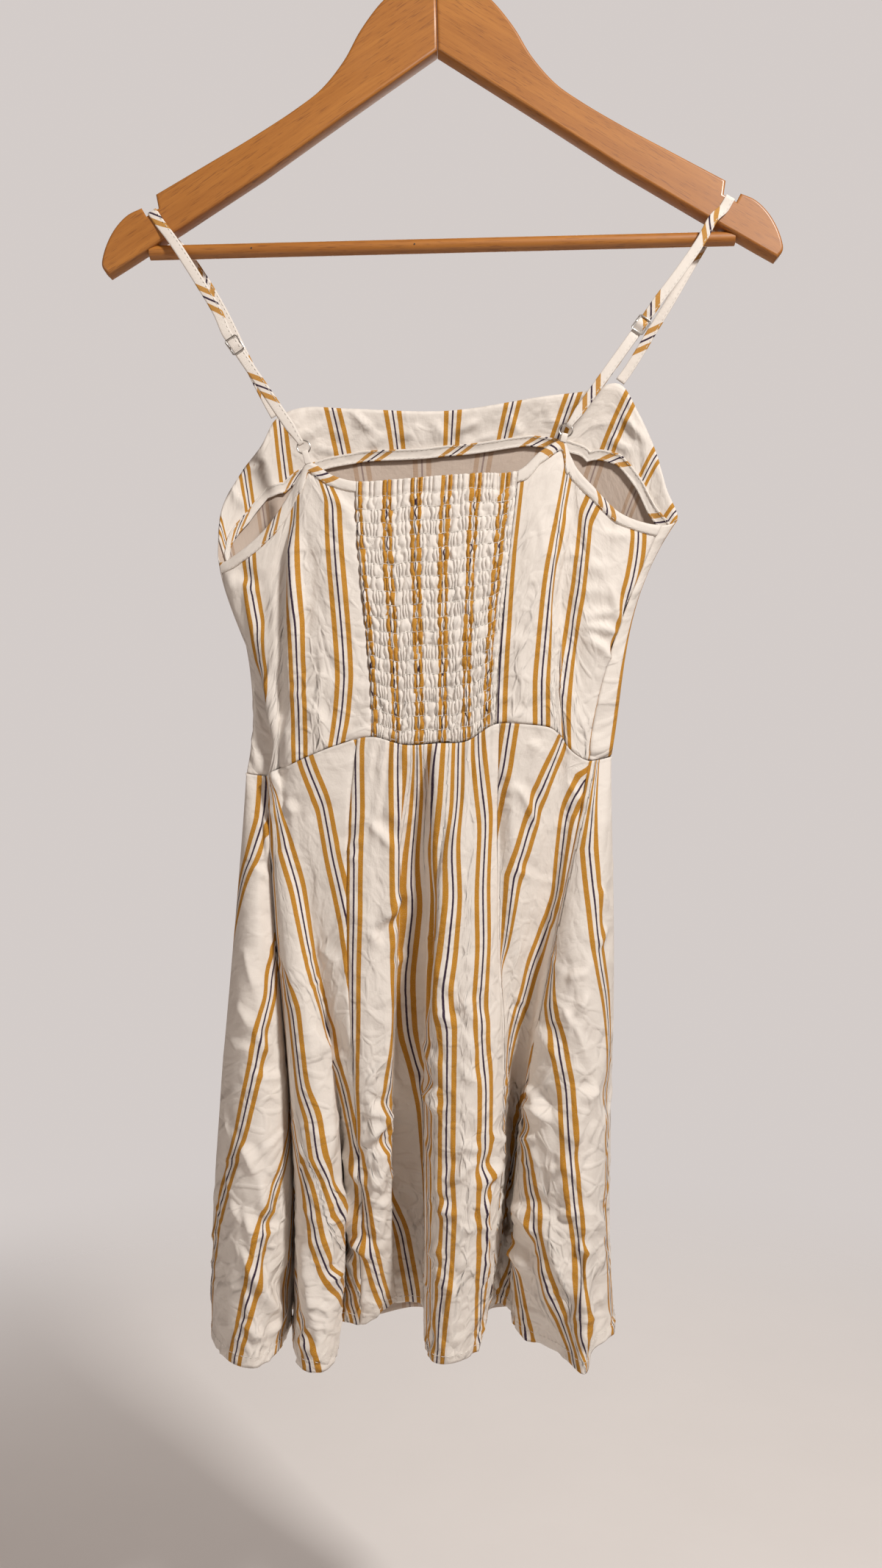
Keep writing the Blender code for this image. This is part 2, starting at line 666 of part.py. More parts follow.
def wire_curve(name, points, radius, mat, cyclic=False, sides=2):
    curve = bpy.data.curves.new(name, "CURVE")
    curve.dimensions = "3D"
    curve.bevel_depth = radius * MM
    curve.bevel_resolution = sides
    curve.use_fill_caps = True
    spline = curve.splines.new("POLY")
    spline.points.add(len(points) - 1)
    spline.use_cyclic_u = cyclic
    for point, at in zip(spline.points, points):
        point.co = (*(at * MM), 1.0)
    return add_object(name, curve, mat)


def make_hook():
    radius = HOOK_INNER_RADIUS + HOOK_WIRE / 2
    foot = ARM_SHOULDER[0][1] + CLEARANCE
    route = [Vector((0, 0, foot)), Vector((0, 0, foot + HOOK_SHANK / 2)),
             Vector((0, 0, foot + HOOK_SHANK)), Vector((HOOK_ELBOW[0], 0, foot + HOOK_ELBOW[1]))]
    for degrees in range(HOOK_ARC[0], HOOK_ARC[1] + 1, HOOK_ARC_STEP):
        angle = math.radians(degrees)
        route.append(Vector((radius * math.cos(angle), 0,
                             radius * math.sin(angle) - HOOK_INNER_RADIUS)))
    return wire_curve("hanger_hook", open_curve(route, HOOK_STEP), HOOK_WIRE / 2, STEEL)


def make_hanger():
    tilt = bpy.data.objects.new("hanger_tilt", None)
    collection.objects.link(tilt)
    tilt.rotation_euler = (0.0, -HANGER_TILT, 0.0)
    pieces = [make_bar(), make_hook()]
    for side, name in ((-1, "hanger_arm_left"), (1, "hanger_arm_right")):
        pieces.append(flat_outline(name, [arm_outline(side)], ARM_THICK, ARM_ROUND, WOOD))
    for piece in pieces:
        piece.parent = tilt


# -------------------------------------------------------------------- straps

def tilted(x, z):
    """A place on the hanger as it hangs."""
    return Vector((x * math.cos(HANGER_TILT) - z * math.sin(HANGER_TILT), 0.0,
                   x * math.sin(HANGER_TILT) + z * math.cos(HANGER_TILT)))


def over_notch(side):
    """Route over the notch's floor from the far face to the near face."""
    (x1, z1), (x2, z2) = NOTCH_FLOOR
    floor = tilted(side * (x1 + x2) / 2, (z1 + z2) / 2)
    across = (tilted(side * x2, z2) - tilted(side * x1, z1)).normalized()
    up = across.cross(Vector((0, 1, 0)))
    if up.z < 0:
        up = -up
    above = STRAP_THICK / 2 + CLEARANCE
    beside = ARM_THICK / 2 + above
    corner = (ARM_THICK / 2 - ARM_ROUND, -ARM_ROUND)
    turn = (ARM_ROUND + above) * math.sqrt(0.5)
    low, mid = NOTCH_HANG
    profile = ((beside, low), (beside, mid), (beside, corner[1]),
               (corner[0] + turn, corner[1] + turn), (corner[0], above), (0.0, above))
    route = [floor + up * rise + Vector((0, y, 0)) for y, rise in profile]
    route += [floor + up * rise - Vector((0, y, 0)) for y, rise in profile[-2::-1]]
    return route


def ring_turn():
    """The last two places of a strap's or tab's way into a ring: along, off."""
    through_ring = RING_RADIUS - WIRE / 2
    chord = math.sqrt(through_ring ** 2 - (STRAP_NECK / 2) ** 2) - CLEARANCE - STRAP_THICK / 2
    return ((chord + RING_TURN[0], RING_TURN[1]), (chord, 0.0))


def strap_route(spec):
    """From the front's peak over the hanger, through slider and ring, and back."""
    slider = Vector(spec["slider"])
    ring = Vector(spec["ring"])
    pull = slider - ring
    pull.y = 0.0
    pull.normalize()
    near = Vector((0, -1, 0))
    weave = WIRE / 2 + STRAP_THICK / 2 + CLEARANCE
    pitch = (SLIDER_HEIGHT - SLIDER_RIM) / 2
    route = [Vector(at) for at in spec["far"]]
    route += over_notch(spec["notch_side"])
    route += [Vector(at) for at in spec["near"]]
    along, share = ABOVE_SLIDER
    route.append(slider + pull * (pitch + along) - near * weave * share)
    for place, side in ((pitch, -1), (0.0, 1), (-pitch, -1)):
        route.append(slider + pull * place + near * weave * side)
    along, share = BELOW_SLIDER
    route.append(slider - pull * (pitch + along) - near * weave * share)
    around = ((RING_RADIUS + RING_LEAVE, RING_STAND), (RING_RADIUS, RING_STAND)) + ring_turn()
    route += [ring + pull * up + near * out for up, out in around]
    route += [ring + pull * up - near * out for up, out in around[-2::-1]]
    doubled = weave + STRAP_THICK + CLEARANCE
    for along, off in DOUBLED:
        route.append(slider - pull * (pitch + along) - near * (doubled + off))
    share, off = DOUBLED_END
    route.append(slider - pull * pitch * share - near * (weave + off))
    return route, pull


def sweep(name, points, across, widths, thick, mat):
    """A flat strip along points; across is its width's direction at each."""
    outer, inner = [], []
    for i, at in enumerate(points):
        ahead = points[min(i + 1, len(points) - 1)]
        behind = points[max(i - 1, 0)]
        along = (ahead - behind).normalized()
        side = across[i] - along * across[i].dot(along)
        side = side.normalized() * widths[i] / 2
        face = side.cross(along).normalized() * thick / 2
        outer.append([at - side + face, at + side + face])
        inner.append([at - side - face, at + side - face])
    return wall(name, outer, inner, mat)


def make_strap(side, spec):
    route, pull = strap_route(spec)
    points = open_curve(route, STRAP_STEP)
    ring = Vector(spec["ring"])
    notch = route[len(spec["far"]) + NOTCH_MIDDLE]
    (x1, z1), (x2, z2) = NOTCH_FLOOR
    sign = spec["notch_side"]
    floor_across = (tilted(sign * x2, z2) - tilted(sign * x1, z1)).normalized() * sign
    pull_across = Vector((pull.z, 0, -pull.x))
    bunched, wide = RING_BUNCH
    across, widths = [], []
    for at in points:
        to_notch = (at - notch).length
        blend = min(1.0, to_notch / STRAP_TWIST)
        across.append(floor_across.lerp(pull_across, blend).normalized())
        to_ring = (at - ring).length
        share = min(1.0, max(0.0, (to_ring - bunched) / (wide - bunched)))
        widths.append(STRAP_NECK + (STRAP_WIDTH - STRAP_NECK) * share)
    return sweep("strap_" + side, points, across, widths, STRAP_THICK, BOUND)


def make_slider(side, spec):
    slider = Vector(spec["slider"])
    pull = slider - Vector(spec["ring"])
    turn = math.atan2(pull.x, pull.z)
    half_w = SLIDER_WIDTH / 2
    half_h = SLIDER_HEIGHT / 2
    cut_w = half_w - SLIDER_CORNER
    cut_h = half_h - SLIDER_CORNER
    frame = [(-cut_w, -half_h), (cut_w, -half_h), (half_w, -cut_h), (half_w, cut_h),
             (cut_w, half_h), (-cut_w, half_h), (-half_w, cut_h), (-half_w, -cut_h)]
    hole_w = half_w - SLIDER_RIM
    low = SLIDER_RIM / 2
    high = half_h - SLIDER_RIM
    holes = []
    for sign in (-1, 1):
        holes.append([(-hole_w, sign * low), (hole_w, sign * low),
                      (hole_w, sign * high), (-hole_w, sign * high)])
    made = flat_outline("slider_" + side, [frame] + holes, SLIDER_THICK, 0.0, STEEL)
    made.location = slider * MM
    made.rotation_euler = (math.pi / 2, turn, 0.0)
    return made


def make_ring(side, spec):
    middle = Vector(spec["ring"])
    points = []
    for k in range(RING_SIDES):
        angle = 2 * math.pi * k / RING_SIDES
        points.append(middle + Vector((math.cos(angle), 0, math.sin(angle))) * RING_RADIUS)
    return wire_curve("ring_" + side, points, WIRE / 2, STEEL, cyclic=True, sides=1)


def make_ring_tab(side, spec):
    """The loop of cloth that ties the ring to the back's peak."""
    ring = Vector(spec["ring"])
    px, pz = spec["peak"]
    foot = Vector((px, ring.y, pz))
    down = (foot - ring).normalized()
    reach = (foot - ring).length - 2 * CLEARANCE
    near = Vector((0, -1, 0))
    profile = [(reach, RING_STAND * TAB_FOOT), ((reach + RING_RADIUS) / 2, RING_STAND),
               (RING_RADIUS * TAB_LIFT, RING_STAND)]
    profile += ring_turn()
    profile += [(up, -y) for up, y in profile[-2::-1]]
    points = open_curve([ring + down * up + near * y for up, y in profile], TAB_STEP)
    across = [Vector((down.z, 0, -down.x))] * len(points)
    widths = [STRAP_NECK] * len(points)
    return sweep("ring_tab_" + side, points, across, widths, STRAP_THICK, BOUND)


# ---------------------------------------------------------------------- make

make_bodice()
make_facing()
make_back_bindings()
make_smocking()
make_skirt()
make_hanger()
for strap_side, strap_spec in STRAPS.items():
    make_strap(strap_side, strap_spec)
    make_slider(strap_side, strap_spec)
    make_ring(strap_side, strap_spec)
    make_ring_tab(strap_side, strap_spec)
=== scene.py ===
"""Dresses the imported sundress: striped viscose with its folds and stitching,
gathered smocking, varnished wood and plated metal.

Lengths are in millimetres up to where a mesh is made. Seen from the garment's
back, x runs to the right, y away through it and z up from the hanger's hook.
Each cloth lies on a smooth surface through named lines, and ridges, troughs and
gathers then lift it off that surface.
"""
import math

import bpy
import numpy as np
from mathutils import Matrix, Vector


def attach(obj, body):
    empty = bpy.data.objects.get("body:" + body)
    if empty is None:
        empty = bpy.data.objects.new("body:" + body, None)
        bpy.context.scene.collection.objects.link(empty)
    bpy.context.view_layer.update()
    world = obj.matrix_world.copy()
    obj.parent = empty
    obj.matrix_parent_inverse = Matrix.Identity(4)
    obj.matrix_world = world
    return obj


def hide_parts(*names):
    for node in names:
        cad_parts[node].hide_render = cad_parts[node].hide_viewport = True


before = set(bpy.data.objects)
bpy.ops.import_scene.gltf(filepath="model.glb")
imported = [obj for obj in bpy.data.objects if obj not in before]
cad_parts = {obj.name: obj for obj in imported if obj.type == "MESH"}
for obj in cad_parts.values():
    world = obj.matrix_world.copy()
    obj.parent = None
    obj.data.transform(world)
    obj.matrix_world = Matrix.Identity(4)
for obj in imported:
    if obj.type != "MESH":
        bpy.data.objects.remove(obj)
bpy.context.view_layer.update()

MM = 0.001
TINY = 1e-6

# Cloth
CLOTH = 0.55  # thickness of the woven cloth as it shows
SMOCK_CLOTH = 0.4
BINDING_CLOTH = 0.8
CELL = 2.1  # mesh spacing of a panel
FINE_CELL = 1.7  # of the skirt panels seen from behind
COARSE_CELL = 2.5  # of the two panels at the centre front
BINDING_CELL = 1.0
SMOCK_CELL = (0.45, 0.9)  # across and down
PROBE_STEP = 0.25  # in lines, and how far down: where the spacing is measured
PROBE_LEVELS = (1.0, 0.4)
SEAM_DIP = 0.7  # how far a seam sinks, and how wide its groove is
SEAM_WIDTH = 2.2
WAIST_DIP = -0.5  # the skirt stands proud where it is sewn to the bodice
WAIST_WIDTH = 1.5
HEM_FADE = (6.4, 7.8)  # the turned-up hem ends between these heights
HEM_RISE = 0.45
HEM_SEWN = 6.0  # height of its stitches
FRONT_LIFT_FADE = (50.0, 70.0)  # the front lies smooth over its facing down to here
BACK_LIFT_FADE = (5.0, 14.0)  # a back panel lies smooth under its binding

# Facing and bindings
FACING_LIFT = -1.3  # the facing lies this far inside the front
FACING_TURN = (-1.0, 3.0)  # where it turns over the front's edge
FACING_HELD = (4.0, 10.0)  # its creases fade towards its top and its binding
FACING_OUTWARD = -0.3  # the most that a crease presses towards the front
BINDING_WIDTH = 6.4
BINDING_LIFT = 1.25  # a binding's middle stands this far off the back panels
FACING_BINDING_LIFT = -1.9
FACING_BINDING_PAST = 0.5  # it reaches this far past the facing's edge
FACING_BINDING_AT = 3.6  # where its stripes start
BINDING_ROLL = 0.9  # how far its edges roll down from its middle
BINDING_AT = {"left": 4.0, "right": 20.0}
SLANT_LEAST = 0.45  # the least sine between a top edge and the lines down from it
NEARBY = 0.05  # in lines and in shares down, for measuring that slant

# Stripes
REPEAT = 39.0
STRIPE_HALF = 8.0  # half the width of a group, with its margin
STRIPE_EDGE = 0.12  # how softly the dye ends
LINE_FROM = -1.0  # the fine line has no gap in its middle
LINE_HALF = 0.58
BAND_FROM = 2.7
BAND_TO = 5.85
ROUTE_STEPS = 241  # a route is rounded on this many steps over this reach
ROUTE_REACH = (-0.1, 1.1)
ROUTE_ROUNDING = 17
KNOT_APART = 1e-4  # keeps the edges of stripes that meet in order
FRONT_STRIPES_AT = (20, 15.0)  # row of the mesh that sets them, and their shift
FACING_STRIPES_AT = (4, -3.4)

# Creases: they fade on cloth that turns from their side, and taper at their ends
CREASE_HEIGHT = 2.6
CREASE_FACING = (0.05, 0.4)
CREASE_START = (-0.12, 0.3)
CREASE_END = (0.62, 1.12)
CREST_ROUND = 0.25  # of a crease's width, as are the next three
CREST_FLANK = 0.75
TROUGH_AT = 2.1
TROUGH_WIDTH = 1.5
TROUGH_DEPTH = 0.6  # of the crest's height

# Small creases strewn over a panel: how many, seed, height
CRUMPLE = {
    "front_bodice": (34, 31, 0.6), "front_facing": (34, 51, 0.4),
    "back_panel_left": (34, 44, 0.45), "back_panel_right": (34, 45, 0.45),
}
SKIRT_CRUMPLE_LOW = (68, 1.3, 0.5)  # how many, height, and how far down they start
SKIRT_CRUMPLE = (34, 0.7)  # how many, height
SKIRT_CRUMPLE_SEED = 20  # past the panel's own seed
CRUMPLE_CROWDING = 0.7  # below 1 puts more of them low
CRUMPLE_SLANT = (12, 75)  # degrees
CRUMPLE_LENGTH = (13.0, 38.0)
CRUMPLE_WIDTH = (1.4, 2.8)
CRUMPLE_TALL = (0.3, 1.0)
CRUMPLE_BOW = (-0.15, 0.15)  # of its length

# Soft wrinkles: height, size, seed and stretch down the cloth
FACING_BINDING_RUMPLE = (0.25, 6.0, 3, 0.5)
BACK_BINDING_RUMPLE = (0.2, 6.0, 5, 0.5)
SKIRT_RUMPLE = (0.4, 30.0, 2.2)  # height, size and stretch
SKIRT_RUMPLE_FROM = (90.0, 260.0)
SKIRT_RUMPLE_TOP = 0.3  # share of them above there
# Their waves: radians from one seed and one wave to the next, pitch and its
# step, fade and sum, and the bends that keep them from repeating
WAVES = 5
WAVE_TURNS = (1.7, 2.4)
WAVE_PITCH = (1.3, 0.45)
WAVE_FADE = 0.55
WAVE_SUM = 2.2
BEND = 0.9
BEND_PITCH = (0.6, 0.13, 0.9)
BEND_CROSSING = (1.1, -0.5, 2.3)

# Stitches
STITCH = 3.2  # from one stitch to the next
STITCH_SPAN = (0.0, 0.38, 0.76)  # its ends and middle on that length
STITCH_START = 1.0
STITCH_RADIUS = 0.2
STITCH_PROUD = (-0.2, 0.25, -0.2)  # heights of its ends and middle over the cloth
STRAP_STITCH_START = 2.0
STRAP_STITCH_IN = 1.1  # from a strap's edge
ELASTIC_SPAN = (0.04, 0.5, 0.96)  # of a gather
ELASTIC_PROUD = (-0.1, 0.3, -0.1)

# Smocking of the centre back, gathered 2 to 1
SMOCK_GATHERS = 32
SMOCK_ROWS = 19  # of elastic
SMOCK_HEADER = 10.0  # ruffle above the first row
SMOCK_SEED = 5
SMOCK_SPARE = 3  # gathers past either edge that are given heights too
SMOCK_UNEVEN = (0.5, 1.0)  # heights of its puffs
SMOCK_ROUND = 0.7  # below 1 makes gathers and puffs fuller
SMOCK_FLOOR = 0.1
SMOCK_RISE = 2.3  # of a gather
SMOCK_TIED = 0.4  # share of the rise left under a row of elastic
PUFF_RISE = 0.3
RUFFLE_FLOOR = 0.3
RUFFLE_RISE = 2.2
RUFFLE_EDGE = (-1.5, 1.0)
RUFFLE_TIED = (0.5, 3.0)  # share left at the first row, and the height it is free at
SMOCK_SEAM = (1.2, 1.6)  # depth and width of the grooves at its edges
# Waves of the rows of elastic: height, radians across the panel, start
ROW_WAVES = ((0.5, 19, 1.0), (0.35, 47, 0.0))
# How the rows draw the gathers aside: gathers, radians across, radians from row to row
DRAWN = ((0.5, 31, 2.1), (0.45, 17, -3.7), (0.2, 67, 5.3))
GATHER_LEAN = (0.3, 29, 5.1)
GATHER_WANDER = (0.13, 53)
SMOCK_STRIPES = 5.5  # repeats across the cut
SMOCK_STRIPE_AT = 0.012
SMOCK_SHOWN = 3.6  # cloth that shows on each gather, the rest folded away
# A stripe's places as they show, and in the cloth: gathers hide the gaps in it
SMOCK_BUNCHED = ((0.0, 0.7, 1.6, 7.2, 19.5), (0.0, 1.2, 2.6, 6.0, 19.5))

# Straps and their metal
STRAP_WIDTH = 6.4
STRAP_THICK = 0.9
STRAP_NECK = 4.0  # width where it is bunched in its ring
STRAP_TWIST = 45.0  # it turns level with its notch over this length
STRAP_BIAS = math.radians(35)  # between its stripes and its length
STRAP_STRIPES_AT = {"left": 39.0, "right": 35.0}
STRAP_STEP = 1.6
# Half of a strap's section round from one edge, in half widths and half thicknesses
STRAP_SECTION = ((-1.0, 0.0), (-0.93, 0.75), (-0.7, 1.0), (0.0, 0.92), (0.7, 1.0), (0.93, 0.75))
RING_BUNCH = (6.0, 15.0)  # it is bunched this near the ring, and flat this far off
RING_STAND = 1.35  # half the gap between its two runs at the ring
RING_RADIUS = 4.2
RING_SIDES = 48
RING_LEAVE = 7.0  # its two runs start to close this far above the ring
RING_TURN = (0.5, 0.95)  # up and out from where it lies on the ring
WIRE = 1.0
WIRE_STEPS = 4  # in a quarter of its round
SLIDER_WIDTH = 9.2
SLIDER_HEIGHT = 11.5
SLIDER_RIM = 1.05
SLIDER_THICK = 1.0
SLIDER_CORNER = 1.2
SLIDER_EDGE = (0.25, 2)
CLEARANCE = 0.3
NOTCH_ROUND = 1.5
NOTCH_HANG = (-9.0, -4.0)  # heights beside the arm, from the notch's floor
NOTCH_MIDDLE = 5  # the point of a notch's route that lies on its floor
ABOVE_SLIDER = (4.5, 0.6)  # along the strap, and share of the weave's depth
BELOW_SLIDER = (5.0, 0.3)
DOUBLED = ((9.0, 0.4), (1.0, 0.5))  # the strap's end behind the slider: along and off
DOUBLED_END = (0.4, 0.25)
TAB_FOOT = 0.75  # of the ring's stand, where the tab is sewn down
TAB_LIFT = 0.95  # of the ring's radius, where its runs close
TAB_PAST = 1.0  # it reaches this far past the peak
TAB_STEP = 0.8
TAB_STRIPES_AT = 30.0

# Hanger
HANGER_TILT = math.radians(1.4)
ARM_THICK = 12.0
ARM_EDGE = (1.8, 4)  # radius of its rounded edges, and steps in them
ARM_STEPS = (3.0, 1.5)  # along the shoulder's curve and the end's
ARM_GRAIN = math.radians(33)
BAR_RADIUS = 4.5
BAR_LEVEL = -256.8
BAR_SHORT = 1.0  # of the arms' undersides, at each end
BAR_POINTS = 9
BAR_STEPS = 8  # in a quarter of its round
SEAM_GAP = 0.3
PINS = ((-124.0, -257.0), (-18.0, -257.0))
PIN_RADIUS = 0.55
PIN_REACH = (0.6, -0.15)  # from inside the bar's face to outside it
HOOK_WIRE = 3.6
HOOK_INNER_RADIUS = 19.0
HOOK_SHANK = 30.0
HOOK_ELBOW = (2.5, 39.0)
HOOK_ARC = (-52, 204)
HOOK_ARC_STEP = 16
HOOK_STEP = 2.0
SHARP = math.radians(40)  # an edge turns more than this

# Colours
CREAM = (0.82, 0.762, 0.702, 1.0)
MUSTARD = (0.49, 0.222, 0.013, 1.0)
PLUM = (0.03, 0.012, 0.035, 1.0)
SLUB_CREAM = (0.93, 0.9, 0.84, 1.0)
# Wrong side: faded colours, darkened further with painted shade for the shadowed insides of the front and
# the skirt
WRONG_CREAM_SHADED = (0.58, 0.47, 0.39, 1.0)
WRONG_TAN_SHADED = (0.42, 0.26, 0.15, 1.0)
WRONG_PLUM_SHADED = (0.2, 0.13, 0.13, 1.0)
WOOD_LIGHT = (0.55, 0.225, 0.04, 1.0)
WOOD_DARK = (0.30, 0.095, 0.010, 1.0)
WOOD_PORE = (0.14, 0.035, 0.006, 1.0)
PLATED = (0.78, 0.77, 0.74, 1.0)
PLATED_DARK = (0.12, 0.08, 0.05, 1.0)
PLATED_WORN = (0.6, 0.58, 0.55, 1.0)
SEWN = (0.86, 0.83, 0.77, 1.0)
FLOOR_PALE = (0.84, 0.81, 0.79, 1.0)
FLOOR_SPECK = (0.8, 0.77, 0.75, 1.0)

# Noises: scale, or one for each axis, in turns a metre; detail; roughness
RAGGED = ((900, 260, 1), 2.0, 0.6)  # edges of the stripes
THREADS = ((3300, 1500, 1), 2.0, 0.7)
CLOUDY = (26.0, 3.0, 0.6)
SLUB = ((2400, 90, 1), 2.0, 0.5)
WEFT = ((110, 2600, 1), 2.0, 0.5)
SOFT_WRINKLES = (42.0, 4.0, 0.55)
GRAIN_WANDER = ((9, 30, 60), 3.0, 0.5)
GRAIN_STREAK = ((14, 60, 420), 4.0, 0.62)
GRAIN_FINE = ((60, 260, 1500), 3.0, 0.7)
GRAIN_PORES = ((90, 400, 1700), 2.0, 0.6)
VARNISH = (30.0, 3.0, 0.5)
WORN = (700.0, 3.0, 0.6)
PLY = (2600.0, 2.0, 0.6)
SPECK = (9.0, 4.0, 0.6)

# Weave: how ragged a stripe's edge is in metres, shares of colour, bumps as
# strength and distance in metres
RAGGED_BY = 0.00035
CLOUD_SHADE = 0.93
SLUB_SHARE = 0.16
FLECK_RANGE = (0.5, 0.72)
FLECK_SHARE = 0.2
LINE_FLECK = 0.5
LINE_DARKER = 0.1
THREAD_SHARE = 0.8
WEAVE_BUMP = (0.35, 0.00022)
WRINKLE_BUMP = (0.5, 0.0035)
CLOTH_FINISH = {"Roughness": 0.88, "Sheen_Weight": 0.06, "Sheen_Roughness": 0.5, "Specular_IOR_Level": 0.25}

# Small sharp creases in the material: where they start and are full down the
# cloth in metres, and their share above; scale and depth of each size
RIGHT_SIDE_CRUSH = (0.0, 0.2, 0.35)
SKIRT_CRUSH = (0.06, 0.27, 0.3)
CRUSH_SIZES = ((28.0, 0.0032), (80.0, 0.0009))
CRUSH_BENT = (21.0, 2.0, 0.5)
CRUSH_BENT_BY = (0.022, 0.022, 0.0)
CRUSH_PATCHES = (0.45, 2.0, 0.5)
CRUSH_RIDGE = 0.2

STREAK_RANGE = (0.36, 0.64)
PORE_RANGE = (0.57, 0.68)
STREAK_SHARE = 0.55
FINE_SHARE = 0.3
PORE_SHARE = 0.5
PORE_DEPTH = -0.8
GRAIN_BUMP = (0.05, 0.0001)
VARNISH_COAT = {"Coat_Weight": 0.45, "Coat_Roughness": 0.28}
VARNISH_ROUGH = (0.42, 0.56)
METAL_ROUGH = (0.16, 0.34)
METAL_BUMP = (0.1, 0.00005)
THREAD_SHADE = 0.8
THREAD_BUMP = (0.3, 0.0001)
THREAD_ROUGH = 0.6
FLOOR_ROUGH = 0.8

# Camera, floor and light, in metres
CAMERA_AT = (0.0055, -0.8, -0.608)
CAMERA_ANGLE = 2 * math.atan(0.51192 / 0.8)
SENSOR = 36.0  # millimetres
FLOOR_HALF = 12.0
FLOOR_LEVEL = -1.32
FLOOR_FADE = (1.37, 2.0)  # from the middle
AMBIENT = (0.168, 0.126, 0.104, 1.0)
BACKGROUND = (0.655, 0.605, 0.585, 1.0)
LIT = Vector((0.0, 0.0, -0.55))  # where the lamps point
LIGHTS = (
    ("key", (1.05, -1.3, 0.75), 0.26, 44.5, (1.0, 0.965, 0.925)),
    ("fill", (-1.2, -1.3, -0.3), 1.2, 5.0, (1.0, 0.95, 0.9)),
    ("back", (0.2, 1.6, 0.2), 1.4, 15.0, (1.0, 0.98, 0.96)),
)

# How far down each line of cloth its second and third tables lie
BODICE_LEVELS = (0.0, 0.38, 0.68, 1.0)
SKIRT_LEVELS = (0.0, 0.28, 0.62, 1.0)

# Lines of the bodice, round from the left side seam across the back to the
# right side seam and back across the front.
# name, top edge x y z, chest x y, ribs x y, waist x y z
BODICE_LINES = (
    ("side_left", -139, 3, -463, -122, 2, -106, 2, -108, 1, -603),
    ("left_1", -124, -2, -456, -115, -4, -105, -4, -107, -5, -603),
    ("left_2", -106, -5, -440, -104, -7, -102, -7, -103, -7, -600),
    ("fold_left_low", -91, -7, -418, -95, -6, -98, -6, -99, -7, -598),
    ("fold_left_high", -85, -9, -408, -90, -13, -93, -14, -94, -13, -597),
    ("peak_left", -80, -10, -401, -79, -15, -80, -16, -83, -16, -592),
    ("left_3", -64, -12, -410, -63, -17, -60, -18, -63, -18, -584),
    ("smock_left", -49, -13, -414, -46, -17, -41, -18, -39, -18, -578),
    ("smock_1", -23, -14, -413, -22, -18, -20, -19, -18, -19, -583),
    ("smock_2", 3, -15, -411, 2, -18, 1, -19, 2, -19, -582),
    ("smock_3", 29, -14, -409, 26, -18, 22, -19, 21, -19, -581),
    ("smock_right", 55, -13, -407, 48, -17, 43, -18, 40, -18, -570),
    ("right_1", 70, -12, -394, 63, -17, 60, -18, 59, -18, -570),
    ("peak_right", 84, -10, -387, 77, -15, 74, -16, 75, -16, -572),
    ("fold_right_high", 89, -9, -397, 80, -13, 76, -14, 80, -13.5, -575),
    ("fold_right_low", 93, -8, -404, 85, -6, 82, -5, 85, -7, -580),
    ("right_2", 104, -7, -416, 97, -9, 91, -9, 89, -9, -586),
    ("right_3", 123, -4, -433, 113, -7, 100, -8, 96, -7, -591),
    ("side_right", 149, 1, -439, 125, -2, 110, -4, 102, -4, -593),
    ("under_right", 161, 6, -434, 133, 6, 124, 4, 117, 4, -590),
    ("arm_right_1", 155, 11, -413, 128, 16, 120, 14, 110, 13, -590),
    ("arm_right_2", 148, 15, -386, 119, 21, 109, 20, 99, 18, -590),
    ("arm_right_3", 137, 16, -361, 107, 24, 94, 23, 84, 20, -588),
    ("front_peak_right", 124, 15, -342, 92, 26, 80, 24, 70, 21, -586),
    ("neck_right_1", 103, 17, -346, 75, 27, 62, 25, 55, 22, -585),
    ("neck_right_2", 74, 19, -349, 50, 28, 39, 26, 33, 23, -584),
    ("neck_centre", 10, 21, -358, 6, 29, 2, 27, -2, 24, -584),
    ("neck_left_2", -54, 20, -357, -40, 28, -38, 26, -36, 23, -585),
    ("neck_left_1", -88, 18, -357, -74, 26, -66, 25, -61, 22, -587),
    ("front_peak_left", -104, 15, -365, -94, 25, -84, 24, -78, 21, -589),
    ("arm_left_3", -114, 15, -383, -105, 22, -97, 22, -92, 19, -592),
    ("arm_left_2", -127, 14, -401, -116, 19, -108, 19, -103, 16, -595),
    ("arm_left_1", -139, 10, -425, -125, 13, -116, 14, -115, 11, -598),
    ("under_left", -141, 6, -448, -125, 7, -118, 6, -122, 4, -601),
)

# How deep the facing hangs below the front's top edge at each bodice line
FACING_DEPTHS = (
    ("under_right", 12), ("arm_right_1", 18), ("arm_right_2", 25),
    ("arm_right_3", 34), ("front_peak_right", 51), ("neck_right_1", 39),
    ("neck_right_2", 32), ("neck_centre", 29), ("neck_left_2", 34),
    ("neck_left_1", 43), ("front_peak_left", 48), ("arm_left_3", 34),
    ("arm_left_2", 32), ("arm_left_1", 25), ("under_left", 16),
)

